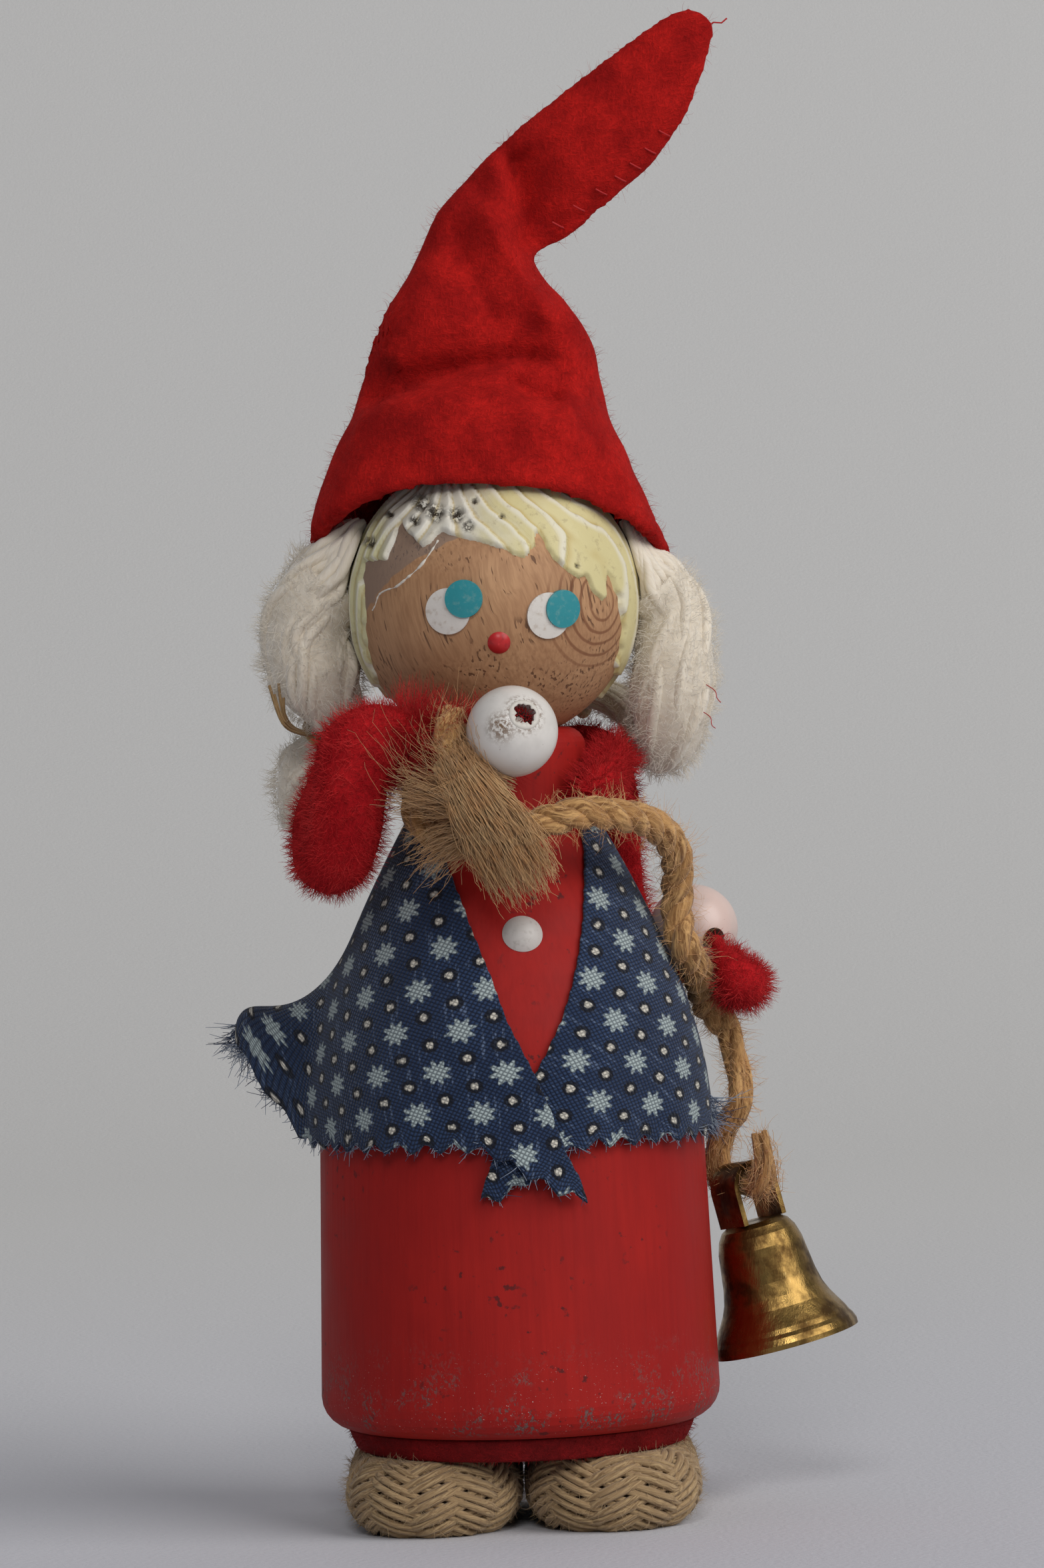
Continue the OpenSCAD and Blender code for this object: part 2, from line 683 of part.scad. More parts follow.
module rope_tail() { color("#b3915c") rope(0, hitch_from); }
module rope_hitch() { color("#a98a58") rope(hitch_from, span_from); }
module rope_span() { color("#a98a58") rope(span_from, drop_from); }
module rope_drop() { color("#a98a58") rope(drop_from, len(rope_points) - 1); }

// Bell: in its own frame it hangs along -Z from the rope's middle at zero,
// under the loop's arch
bell_tilt = 13.4;
loop_turn = 35;
arch_gap = 0.9;
arch_r = strand_r + arch_gap;
leg_h = 3.8;
crown_drop = arch_r - strand_r - glue_gap + leg_h;
bell_line_share = [
    [1, 0], [1, 0.04], [0.965, 0.09], [0.93, 0.12], [0.9, 0.16], [0.83, 0.23], [0.75, 0.31],
    [0.685, 0.4], [0.64, 0.52], [0.61, 0.66], [0.58, 0.8], [0.53, 0.9], [0.46, 0.965], [0.37, 1], [0.2, 1]
];
hook_ring_r = 1.1;
hook_wire_r = 0.4;
hook_gap = 0.15;

function bell_line() =
    [for (p = bell_line_share) [p[0] * bell_r, p[1] * bell_h - bell_h - crown_drop]];
function inset(line, by) =
    let (t = headings(line)) [for (i = [0 : len(line) - 1]) line[i] + by * [-t[i][1], t[i][0]]];

module in_bell() {
    translate(bell_pivot) rotate([0, -bell_tilt, 0]) children();
}

module bell_shell() {
    line = bell_line();
    top = -crown_drop;
    color("#b08d3e")
    in_bell()
        rotate_extrude($fn = round_fn)
            polygon(concat(line, [[0, top], [0, top - bell_wall]], reversed(inset(line, bell_wall))));
}

module bell_loop() {
    color("#b08d3e")
    in_bell()
        rotate([90, 0, loop_turn])
            linear_extrude(height = loop_w, center = true)
                translate([0, strand_r + glue_gap - arch_r])
                    difference() {
                        union() {
                            circle(arch_r + loop_t, $fn = round_fn / 2);
                            translate([-arch_r - loop_t, -leg_h])
                                square([2 * (arch_r + loop_t), leg_h]);
                        }
                        circle(arch_r, $fn = round_fn / 2);
                        translate([-arch_r, -leg_h - overrun])
                            square([2 * arch_r, leg_h + overrun]);
                        translate([-arch_r - loop_t - overrun, -leg_h - arch_r - overrun])
                            square([2 * (arch_r + loop_t + overrun), arch_r + overrun]);
                    }
}

// Clapper: a ring, a stem and a ball, hung from a staple under the crown
hook_z = -crown_drop - bell_wall - hook_ring_r - hook_ring_r;

module clapper_hook() {
    color("#8c7440")
    in_bell()
    intersection() {
        translate([0, 0, hook_z + hook_ring_r])
            rotate([0, 90, 0])
                rotate_extrude($fn = round_fn / 2)
                    translate([hook_ring_r, 0]) circle(hook_wire_r, $fn = round_fn / 4);
        translate([0, 0, -crown_drop - bell_wall - bell_h / 2])
            cube([bell_d, bell_d, bell_h], center = true);
    }
}

function clapper_pivot() =
    bell_pivot + hook_z * [-sin(bell_tilt), 0, cos(bell_tilt)];

module clapper() {
    ring_z = -(hook_ring_r - 2 * hook_wire_r - hook_gap);
    stem_top = ring_z - hook_ring_r;
    color("#8c7440")
    translate(clapper_pivot())
    union() {
        translate([0, 0, ring_z])
            rotate([90, 0, 0])
                rotate_extrude($fn = round_fn / 2)
                    translate([hook_ring_r, 0]) circle(hook_wire_r, $fn = round_fn / 4);
        translate([0, 0, -clapper_l])
            cylinder(r = hook_wire_r, h = clapper_l + stem_top, $fn = round_fn / 4);
        translate([0, 0, -clapper_l]) sphere(clapper_d / 2, $fn = round_fn / 2);
    }
}

body();
base_disc();
foot_right();
foot_left();
neck_dowel();
head();
hair_paint();
eye_whites();
eye_irises();
nose_dot();
button_dot();
hat();
bunch_right();
bunch_left();
tie_right();
tie_left();
arm_wire();
arm_right();
arm_left();
hand_right();
hand_left();
shawl();
rope_tail();
rope_hitch();
rope_span();
rope_drop();
bell_shell();
bell_loop();
clapper_hook();
clapper();
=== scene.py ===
import math
import random

import bmesh
import bpy
from mathutils import Matrix, Vector, kdtree, noise


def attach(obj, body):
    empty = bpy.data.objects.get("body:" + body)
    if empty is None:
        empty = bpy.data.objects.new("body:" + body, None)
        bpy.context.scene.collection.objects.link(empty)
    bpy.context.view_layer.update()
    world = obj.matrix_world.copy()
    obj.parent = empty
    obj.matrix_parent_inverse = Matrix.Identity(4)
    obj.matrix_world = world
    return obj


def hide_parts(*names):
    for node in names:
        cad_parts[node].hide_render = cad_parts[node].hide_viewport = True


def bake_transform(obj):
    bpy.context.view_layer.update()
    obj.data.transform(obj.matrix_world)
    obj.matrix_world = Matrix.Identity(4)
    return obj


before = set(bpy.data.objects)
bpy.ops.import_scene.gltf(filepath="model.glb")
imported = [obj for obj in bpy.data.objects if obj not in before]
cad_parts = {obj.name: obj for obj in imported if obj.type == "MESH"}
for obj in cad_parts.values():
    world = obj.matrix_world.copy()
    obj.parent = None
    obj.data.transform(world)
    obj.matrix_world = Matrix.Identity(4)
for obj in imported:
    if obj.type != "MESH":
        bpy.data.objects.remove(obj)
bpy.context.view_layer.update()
mm = 0.001

# Camera: level with the doll's face and 700 mm in front of it, rolled two
# degrees as the photograph is. The long side of the picture spans 172 mm.
eye_place = Vector((2.45, -700, 91.7)) * mm
look_place = Vector((2.45, 0, 80.6)) * mm
picture_roll = math.radians(-2)
view = bpy.data.cameras.new("camera")
view.sensor_width, view.lens = 36, 146.3
view.clip_start, view.clip_end = 0.05, 20
camera = bpy.data.objects.new("camera", view)
bpy.context.scene.collection.objects.link(camera)
facing = (look_place - eye_place).to_track_quat("-Z", "Y").to_matrix().to_4x4()
rolled = Matrix.Rotation(picture_roll, 4, "Z")
camera.matrix_world = Matrix.Translation(eye_place) @ facing @ rolled
bpy.context.scene.camera = camera

# Rope: three-strand jute. It is frayed under the right hand, takes a turn
# round that wrist, crosses to the crook of the left arm and drops to the bell,
# where its strands open and pass through the loop.
rope_r, lay_pitch = 1.85 * mm, 8.2 * mm
open_rope_r, open_lay_pitch = 1.5 * mm, 24 * mm
tail_points = [(-5.3, -20.6, 84.6), (-2.8, -22.8, 80), (0.2, -22.8, 75), (3.2, -22.2, 69)]
held_points = [
    (-2.8, -22.8, 80), (-4.6, -20.4, 83.4), (-5.1, -19, 86), (-4.9, -17, 87.7),
    (-4.9, -14.9, 87.7), (-5.6, -12.8, 85.2), (-7.6, -11.9, 82.3), (-9, -13.4, 79),
    (-7.6, -15.6, 76.2), (-4, -16.8, 75), (0.5, -17.5, 75.5), (4.9, -18.4, 76.8),
    (9.1, -17.4, 77.6), (13.2, -14.9, 77), (16.5, -11.2, 75.9), (18.8, -7.2, 73),
    (19, -4.2, 69.2), (18.9, -3.6, 65.6), (19.5, -4.2, 62.4), (20.9, 0.1, 59.7),
    (21.5, 4.6, 57.6), (22.2, 8.2, 55.2), (24.2, 9.6, 52.9),
]
hung_points = held_points[-3:] + [
    (25.3, 9, 48.5), (25.4, 9, 44), (23.6, 10.9, 41), (22.8, 11.8, 38), (23.4, 10.9, 35.2),
    (25.4, 8, 35.5), (27.3, 5.2, 35.2), (27.9, 4.3, 38), (27.3, 5, 41),
]


def smooth_line(points, steps):
    """A Catmull-Rom line through points, which may be vectors of any size."""
    line = []
    last = len(points) - 1
    for i in range(last):
        a, b, c, d = (points[min(max(i + k, 0), last)] for k in (-1, 0, 1, 2))
        for k in range(steps):
            t = k / steps
            cubic = a - 2.5 * b + 2 * c - d / 2 + t * (1.5 * (b - c) + (d - a) / 2)
            line.append(b + t * ((c - a) / 2 + t * cubic))
    line.append(points[last])
    return line


def in_metres(points):
    return [Vector(p) * mm for p in points]


def carried_frames(line):
    """Two side directions at each point of a line, turned no more than it turns."""
    frames = []
    side = Vector((0.3, 0.2, 1))
    for i, _ in enumerate(line):
        ahead = (line[min(i + 1, len(line) - 1)] - line[max(i - 1, 0)]).normalized()
        side = (side - side.dot(ahead) * ahead).normalized()
        frames.append((side, ahead.cross(side)))
    return frames


def final_mesh(bare):
    """The mesh of an object after its modifiers, without the object."""
    bpy.context.scene.collection.objects.link(bare)
    seen = bpy.context.evaluated_depsgraph_get()
    mesh = bpy.data.meshes.new_from_object(bare.evaluated_get(seen))
    bpy.data.objects.remove(bare)
    return mesh


def tubes(name, lines, radii, sides=6, capped=True):
    """A mesh of round strands along lines, with its UVs in metres along and
    in turns around each strand."""
    curve = bpy.data.curves.new(name, "CURVE")
    curve.dimensions = "3D"
    curve.bevel_depth = 1
    curve.bevel_resolution = sides // 2 - 2
    curve.use_fill_caps = capped
    for line, radius in zip(lines, radii):
        spline = curve.splines.new("POLY")
        spline.points.add(len(line) - 1)
        for point, place, r in zip(spline.points, line, radius):
            point.co = (*place, 1)
            point.radius = r
    mesh = final_mesh(bpy.data.objects.new(name, curve))
    mesh.name = name
    if mesh.uv_layers:
        long = sum(line_length(line) for line in lines) / len(lines)
        for loop in mesh.uv_layers[0].data:
            loop.uv.x *= long
    return mesh


def line_length(line):
    return sum((b - a).length for a, b in zip(line, line[1:]))


def shown(name, mesh, material, slot=None, *stands_for, body="root"):
    """An object for a finished mesh, with its finish and its body, that may stand for CAD nodes.
    Its slot is not used."""
    made = bpy.data.objects.new(name, mesh)
    bpy.context.scene.collection.objects.link(made)
    mesh.materials.clear()
    mesh.materials.append(material)
    mesh.shade_smooth()
    if body:
        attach(made, body)
    if stands_for:
        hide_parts(*stands_for)
    return made


def laid_strands(line, rope_radius, pitches, turn=0.0):
    """The three strands of a laid rope along a line: their lines and radius."""
    strand_r = rope_radius * 0.56
    out_r = rope_radius - strand_r
    frames = carried_frames(line)
    lines = [[], [], []]
    for i, place in enumerate(line):
        if i:
            turn += math.tau * (place - line[i - 1]).length / pitches[i]
        side, up = frames[i]
        for k, strand in enumerate(lines):
            a = turn + math.tau * k / 3
            strand.append(place + out_r * (math.cos(a) * side + math.sin(a) * up))
    return lines, strand_r


def put(kind, sockets, tree=None, **settings):
    """A node with its sockets linked or set. It goes into the tree of the sockets
    that it is linked to where none is given."""
    linked = [name for name, value in sockets.items() if isinstance(value, bpy.types.NodeSocket)]
    if tree is None:
        tree = sockets[linked[0]].id_data
    made = tree.nodes.new(kind)
    for name, value in settings.items():
        setattr(made, name, value)
    for name, value in sockets.items():
        if name in linked:
            tree.links.new(value, made.inputs[name])
        else:
            made.inputs[name].default_value = value
    return made


def calc(operation, a, b=0.5, c=0.0):
    return put("ShaderNodeMath", {0: a, 1: b, 2: c}, operation=operation).outputs[0]


def times(a, b):
    return calc("MULTIPLY", a, b)


def vectors(operation, a, b=(0, 0, 0)):
    """Two vectors put together, into a vector or a number as the operation does."""
    made = put("ShaderNodeVectorMath", {0: a, 1: b}, operation=operation).outputs
    return made[1] if operation in ("DOT_PRODUCT", "DISTANCE", "LENGTH") else made[0]


def scaled(vector, by):
    sockets = {0: vector, "Scale": by}
    return put("ShaderNodeVectorMath", sockets, operation="SCALE").outputs[0]


def tint(share, a, b):
    return put("ShaderNodeMix", {0: share, 6: a, 7: b}, data_type="RGBA").outputs[2]


def between(value, low, high, to_low=0.0, to_high=1.0):
    """value spread from low to high onto to_low to to_high, with soft ends."""
    sockets = {0: value, 1: low, 2: high, 3: to_low, 4: to_high}
    return put("ShaderNodeMapRange", sockets, interpolation_type="SMOOTHSTEP").outputs[0]


def grain(vector, scale, detail=3.0, rough=0.55):
    sockets = {"Vector": vector, "Scale": scale, "Detail": detail, "Roughness": rough}
    return put("ShaderNodeTexNoise", sockets).outputs["Fac"]


def stretched(vector, scale, turn=(0, 0, 0), place=(0, 0, 0)):
    sockets = {"Vector": vector, "Scale": scale, "Rotation": turn, "Location": place}
    return put("ShaderNodeMapping", sockets).outputs[0]


def parts_of(vector):
    return put("ShaderNodeSeparateXYZ", {0: vector}).outputs


def rgb(red, green, blue):
    """A colour given as it looks on screen, 0 to 255."""
    return tuple(
        v / 12.92 if v <= 0.04045 else ((v + 0.055) / 1.055) ** 2.4
        for v in (red / 255, green / 255, blue / 255)
    ) + (1.0,)


def finish(name, roughness=0.6, sheen=0.0, coat=0.0, metallic=0.0, specular=0.5):
    """A material, its shader, and the object's coordinates and UVs."""
    made = bpy.data.materials.new(name)
    made.use_nodes = True
    shader = made.node_tree.nodes["Principled BSDF"]
    for socket, value in (
        ("Roughness", roughness),
        ("Metallic", metallic),
        ("Specular IOR Level", specular),
        ("Sheen Weight", sheen),
        ("Sheen Roughness", 0.5),
        ("Coat Weight", coat),
    ):
        shader.inputs[socket].default_value = value
    where = made.node_tree.nodes.new("ShaderNodeTexCoord").outputs
    return made, shader, where["Object"], where["UV"]


def plain(name, roughness, colour):
    """A material of one colour."""
    made, shader, _, _ = finish(name, roughness)
    shader.inputs["Base Color"].default_value = colour
    return made


def laid_on(shader, value, socket="Base Color"):
    shader.id_data.links.new(value, shader.inputs[socket])


def relief(shader, height, depth):
    bump = put("ShaderNodeBump", {"Height": height, "Distance": depth, "Strength": 1.0})
    laid_on(shader, bump.outputs[0], "Normal")


def effect(name, inputs, outputs, kind="ShaderNodeTree"):
    """A group with named sockets, which materials or pieces share, and its inputs."""
    group = bpy.data.node_groups.new(name, kind)
    for in_out, sockets in (("INPUT", inputs), ("OUTPUT", outputs)):
        for socket, value in sockets.items():
            group.interface.new_socket(socket, in_out=in_out, socket_type="NodeSocket" + value)
    return group, group.nodes.new("NodeGroupInput").outputs


# Yarn: fine streaks that lean round the strand by turns a metre, and patches
yarn_marks, given = effect(
    "yarn marks",
    {
        **dict.fromkeys(("Place", "Along"), "Vector"),
        "Lean": "Float",
        **dict.fromkeys(("Dark", "Mid", "Light"), "Color"),
    },
    {"Colour": "Color", "Streaks": "Float"},
)
parts = parts_of(given["Along"])
around = calc("MULTIPLY_ADD", parts[0], given["Lean"], parts[1])
laid = put("ShaderNodeCombineXYZ", {0: times(parts[0], 170.0), 1: times(around, 13.0)}).outputs[0]
laid = vectors("ADD", laid, times(grain(given["Place"], 300, 1.0), 5.0))
streaks = grain(laid, 1.0, 4.0, 0.7)
patches = grain(given["Place"], 420, 2.0)
yarn = tint(between(streaks, 0.36, 0.64), given["Dark"], given["Light"])
yarn = tint(between(patches, 0.4, 0.6, 0.1, 0.55), yarn, given["Mid"])
put("NodeGroupOutput", {"Colour": yarn, "Streaks": streaks})


def fibre_finish(name, dark, mid, light, lean=0.0, sheen=0.15, deep=0.14):
    made, shader, place, along = finish(name, 0.85, sheen=sheen, specular=0.25)
    sockets = {"Place": place, "Along": along, "Lean": lean}
    sockets |= {"Dark": rgb(*dark), "Mid": rgb(*mid), "Light": rgb(*light)}
    marks = put("ShaderNodeGroup", sockets, node_tree=yarn_marks).outputs
    laid_on(shader, marks["Colour"])
    relief(shader, marks["Streaks"], deep * mm)
    return made


# Fibres that grow out of a surface: scattered, strayed, curled and tapered
growing, given = effect(
    "fibres",
    {
        "Geometry": "Geometry",
        **dict.fromkeys(("Density", "Length", "Thickness", "Spread", "Curl"), "Float"),
        **dict.fromkeys(("Seed", "Points"), "Int"),
    },
    {"Geometry": "Geometry"},
    "GeometryNodeTree",
)
seed = {"Seed": given["Seed"]}
roots = put(
    "GeometryNodeDistributePointsOnFaces",
    {"Mesh": given["Geometry"], "Density": given["Density"], **seed},
).outputs
stray = put(
    "FunctionNodeRandomValue", {0: (-1, -1, -1), 1: (1, 1, 1), **seed}, data_type="FLOAT_VECTOR"
).outputs[0]
way = vectors("ADD", roots["Normal"], scaled(stray, given["Spread"]))
turned = put("FunctionNodeAlignRotationToVector", {"Vector": way}, axis="Z").outputs[0]
size = put("FunctionNodeRandomValue", {2: 0.45, 3: 1.0, **seed}, data_type="FLOAT").outputs[1]
stem = put("GeometryNodeCurvePrimitiveLine", {"Start": (0, 0, 0), "End": (0, 0, 1)}, growing)
stem = put("GeometryNodeResampleCurve", {"Curve": stem.outputs[0], "Count": given["Points"]})
size = times(size, given["Length"])
stems = {"Points": roots["Points"], "Instance": stem.outputs[0], "Rotation": turned, "Scale": size}
fibres = put("GeometryNodeInstanceOnPoints", stems)
fibres = put("GeometryNodeRealizeInstances", {"Geometry": fibres.outputs[0]})
share = growing.nodes.new("GeometryNodeSplineParameter").outputs["Factor"]
spot = growing.nodes.new("GeometryNodeInputPosition").outputs[0]
wander = put("ShaderNodeTexNoise", {"Vector": spot, "Scale": 450.0, "Detail": 1.0}).outputs["Color"]
wander = vectors("ADD", wander, (-0.5, -0.5, -0.5))
wander = scaled(wander, times(share, given["Curl"]))
fibres = put("GeometryNodeSetPosition", {"Geometry": fibres.outputs[0], "Offset": wander})
thick = times(calc("MULTIPLY_ADD", share, -0.75, 1.0), given["Thickness"])
fibres = put("GeometryNodeSetCurveRadius", {"Curve": fibres.outputs[0], "Radius": thick})
wire = put("GeometryNodeCurvePrimitiveCircle", {"Resolution": 3, "Radius": 1.0}, growing)
skin = {"Curve": fibres.outputs[0], "Profile Curve": wire.outputs[0]}
skin = put("GeometryNodeCurveToMesh", skin)
if "Scale" in skin.inputs:
    growing.links.new(thick, skin.inputs["Scale"])
put("NodeGroupOutput", {0: skin.outputs[0]})
table_gap = 0.05 * mm


def fuzz(
    name, slot, mesh, material, seed, per_mm2, length, thick, spread, curl, points=4, body="root"
):
    """Fibres on a copy of a mesh, as a piece. Their length and thickness are in mm."""
    ground = bpy.data.objects.new(name + "_ground", mesh)
    growth = ground.modifiers.new("fibres", "NODES")
    growth.node_group = growing
    values = {
        "Density": per_mm2 / mm / mm,
        "Length": length * mm,
        "Thickness": thick * mm,
        "Spread": spread,
        "Curl": curl * length * mm,
        "Seed": seed,
        "Points": points,
    }
    for item in growing.interface.items_tree:
        if item.name in values:
            growth[item.identifier] = values[item.name]
    grown = final_mesh(ground)
    grown.name = name
    for v in grown.vertices:
        v.co.z = max(v.co.z, table_gap)
    return shown(name, grown, material, slot, body=body)


jute = fibre_finish("jute rope", (104, 68, 36), (170, 124, 74), (214, 170, 112), 60.0)
jute_hair = fibre_finish(
    "jute fibres", (204, 142, 82), (228, 170, 108), (246, 206, 148), 0.0, 0.3
)

held_line = smooth_line(in_metres(held_points), 8)
held_strands, held_r = laid_strands(held_line, rope_r, [lay_pitch] * len(held_line))
held_mesh = tubes("rope_held", held_strands, [[held_r] * len(held_line)] * 3, 10)
rope_held = shown("rope_held", held_mesh, jute, "jute_rope", "rope_hitch", "rope_span")

hung_line = smooth_line(in_metres(hung_points), 8)
hung_last = len(hung_line) - 1
hung_pitches = [
    lay_pitch + (open_lay_pitch - lay_pitch) * min(i / 24, 1) for i in range(hung_last + 1)
]
hung_strands, hung_r = laid_strands(hung_line, open_rope_r, hung_pitches, 1.2)
hung_radii = [hung_r * (1 - 0.6 * max(0, 1 - (hung_last - i) / 16)) for i in range(hung_last + 1)]
hung_mesh = tubes("rope_hung", hung_strands, [hung_radii] * 3, 10)
rope_hung = shown("rope_hung", hung_mesh, jute, "jute_rope", "rope_drop", body=None)
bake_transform(rope_hung)

# The rope's tail is combed out into a brush of loose fibres. Shorter ones
# stand off to the left of it, and long stray ones curl up past the hand.
chance = random.Random(4)
noise.seed_set(3)


def loose_fibres(count, middle, start_r, end_r, flat, thick, first, last, stray):
    """Lines and radii of fibres along a middle line, from one width to another."""
    line = smooth_line(in_metres(middle), 6)
    frames = carried_frames(line)
    lines, radii = [], []
    for k in range(count):
        turn, out = chance.uniform(0, math.tau), math.sqrt(chance.random())
        begin, stop = chance.uniform(0, first), chance.uniform(last, 1.06) - 0.16 * out**3
        drift = Vector([chance.gauss(0, stray) * mm for _ in "xyz"])
        fibre = []
        for i, place in enumerate(line):
            t = i / (len(line) - 1)
            if begin <= t <= stop:
                side, up = frames[i]
                r = out * (start_r + (end_r - start_r) * min(1.25 * t, 1) ** 0.8) * mm
                spot = place + r * (math.cos(turn) * side + flat * math.sin(turn) * up)
                wave = noise.noise_vector(spot * 210 + Vector((k, 0, 0)))
                curl = noise.noise_vector(spot * 620 + Vector((0, k, 0)))
                bent = 1.5 * t * wave + 0.45 * min(2 * t, 1) * curl
                fibre.append(spot + bent * mm + drift * t * t)
        if len(fibre) > 2:
            lines.append(fibre)
            radii.append([thick * mm * (1 - 0.6 * i / len(fibre)) for i in range(len(fibre))])
    return lines, radii


brush_lines, brush_radii = [], []
left_points = [(-0.5, -20, 78.6), (-4.4, -20.8, 79.4), (-8, -19.6, 80.2), (-12, -17.6, 81)]
low_points = [(0.6, -20, 77), (-3.2, -20.4, 76), (-6.6, -19.4, 74.4), (-9.2, -18, 72.6)]
up_points = [(1.4, -20.6, 79.8), (-1.6, -22, 81.6), (-3.6, -21.8, 84.4), (-5, -21, 87)]
stray_points = [(-1, -21.4, 77), (-4.4, -22.4, 81), (-8.6, -22, 85), (-10, -21.5, 90)]
for tuft in (
    (1300, tail_points, 2.0, 4.3, 0.62, 0.058, 0.3, 0.72, 0.7),
    (380, left_points, 1.6, 2.6, 0.7, 0.05, 0.3, 0.45, 1.2),
    (340, low_points, 1.6, 2.8, 0.7, 0.05, 0.2, 0.5, 1.2),
    (260, up_points, 2.2, 2.6, 0.7, 0.04, 0.3, 0.4, 1.6),
    (80, stray_points, 1.6, 5.0, 0.5, 0.03, 0.2, 0.5, 2.6),
):
    tuft_lines, tuft_radii = loose_fibres(*tuft)
    brush_lines += tuft_lines
    brush_radii += tuft_radii
brush_mesh = tubes("rope_brush", brush_lines, brush_radii, 4, False)
shown("rope_brush", brush_mesh, jute_hair, "jute_rope", "rope_tail")
fuzz("rope_fuzz", "jute_rope", held_mesh, jute_hair, 3, 1.3, 2.8, 0.026, 0.9, 1.4)
hung_fuzz = fuzz(
    "hung_fuzz", "jute_rope", hung_mesh, jute_hair, 5, 2.4, 2.4, 0.03, 0.8, 1.4, body=None
)
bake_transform(hung_fuzz)

# Where the rope ends at the bell its strands have come apart into loose fibres
knot_lines, knot_radii = loose_fibres(480, hung_points[-9:], 1.3, 1.7, 0.8, 0.06, 0.75, 0.3, 0.4)
knot_mesh = tubes("rope_knot", knot_lines, knot_radii, 4, False)
rope_knot = shown("rope_knot", knot_mesh, jute_hair, "jute_rope", body=None)
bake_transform(rope_knot)

# Body: one turning of beech in matt red paint, with the grain just showing
# through. Handling has rubbed it bare in specks round the foot of the skirt.
red_wood, shader, place, _ = finish("red wood paint", 0.6, specular=0.14)
upright = stretched(place, (1, 1, 0.06))
brushed = grain(upright, 1500, 4.0)
cloudy = grain(place, 70, 3.0)
height = parts_of(place)[2]
paint = tint(between(cloudy, 0.35, 0.7), rgb(150, 27, 24), rgb(162, 31, 26))
paint = tint(between(brushed, 0.3, 0.75, 0, 0.3), paint, rgb(128, 22, 21))
rubbed = times(between(height, 12 * mm, 23 * mm, 1, 0), between(height, 10.8 * mm, 12.2 * mm))
specks = grain(stretched(place, (1, 1, 0.75)), 2600, 3.0, 0.75)
spots = grain(place, 260, 3.0)
worn = times(between(specks, 0.5, 0.6), between(spots, 0.44, 0.58))
worn = times(worn, rubbed)
paint = tint(worn, paint, rgb(104, 84, 80))
chalky = between(grain(place, 5200, 1.0), 0.72, 0.76)
paint = tint(times(chalky, times(rubbed, 0.8)), paint, rgb(196, 176, 168))
scuffs = times(between(grain(place, 900, 3.0), 0.62, 0.7), between(cloudy, 0.46, 0.6))
paint = tint(scuffs, paint, rgb(96, 30, 30))
laid_on(shader, paint)
laid_on(shader, between(cloudy, 0.3, 0.7, 0.5, 0.66), "Roughness")
relief(shader, calc("SUBTRACT", brushed, worn), 0.04 * mm)


def cover(made, *nodes):
    """A finish put on CAD nodes that show as they are."""
    for node in nodes:
        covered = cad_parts[node].data
        covered.materials.clear()
        covered.materials.append(made)


cover(red_wood, "body")

# Sole: a disc of thick red felt, cut by hand, glued between body and feet.
# Its rim is a little uneven and hairs of the felt stand off it.
sole_low, sole_high = 8.2 * mm, 10.7 * mm
sole_low_r, sole_high_r = 17.96 * mm, 19.05 * mm

# Felt: matted patches, and hairs that lie every way. The pits between the hairs are darkened as
# painted shade, and the hair crests are lightened as a painted highlight.
felt_marks, given = effect(
    "felt marks",
    {"Place": "Vector", "Pit Shade": "Color", "Deep": "Color", "Bright": "Color"},
    {"Colour": "Color", "Height": "Float"},
)
matted = grain(given["Place"], 230, 5.0, 0.6)
swirl = vectors("ADD", given["Place"], times(matted, 2.5 * mm))
hairs = calc(
    "MAXIMUM",
    grain(stretched(swirl, (1, 1, 0.25)), 3600, 3.0, 0.7),
    grain(stretched(swirl, (0.25, 1, 1)), 3400, 3.0, 0.7),
)
dye_and_painted_light = tint(between(matted, 0.3, 0.7), given["Deep"], given["Bright"])
# Painted shade in the pits between the hairs, then a painted highlight on the hair crests
dye_and_painted_light = tint(between(hairs, 0.42, 0.72, 0.45, 0), dye_and_painted_light, given["Pit Shade"])
dye_and_painted_light = tint(between(hairs, 0.66, 0.8, 0, 0.4), dye_and_painted_light, given["Bright"])
height = calc("MULTIPLY_ADD", matted, 1.5, hairs)
put("NodeGroupOutput", {"Colour": dye_and_painted_light, "Height": height})


def felt_finish(name, deep, bright):
    made, shader, place, _ = finish(name, 0.95, sheen=0.4, specular=0.12)
    shader.inputs["Sheen Tint"].default_value = bright
    # The deep colour darkened, for the painted shade in the pits
    pit_shade = tuple(0.45 * c for c in deep[:3]) + (1,)
    sockets = {"Place": place, "Pit Shade": pit_shade, "Deep": deep, "Bright": bright}
    marks = put("ShaderNodeGroup", sockets, node_tree=felt_marks).outputs
    laid_on(shader, marks["Colour"])
    relief(shader, marks["Height"], 0.28 * mm)
    return made


sole_felt = felt_finish("sole felt", rgb(104, 18, 20), rgb(140, 24, 26))
sole_hair = felt_finish("sole fibres", rgb(140, 24, 26), rgb(168, 34, 34))
shape = bmesh.new()
bmesh.ops.create_cone(
    shape,
    cap_ends=True,
    segments=160,
    radius1=sole_low_r,
    radius2=sole_high_r,
    depth=sole_high - sole_low,
    matrix=Matrix.Translation((0, 0, (sole_low + sole_high) / 2)),
)
rims = [f for f in shape.faces if len(f.verts) > 4]
bmesh.ops.inset_region(shape, faces=rims, thickness=1.2 * mm)
walls = [e for e in shape.edges if abs(e.verts[0].co.z - e.verts[1].co.z) > 1 * mm]
bmesh.ops.subdivide_edges(shape, edges=walls, cuts=3, use_grid_fill=True)
for v in shape.verts:
    if v.co.xy.length > 17 * mm:
        v.co.xy *= 1 + 0.014 * noise.noise(v.co * 260)
bmesh.ops.bevel(
    shape,
    geom=[e for e in shape.edges if e.calc_face_angle(0) > 0.9],
    offset=0.3 * mm,
    segments=2,
    affect="EDGES",
    profile=0.5,
    material=-1,
)


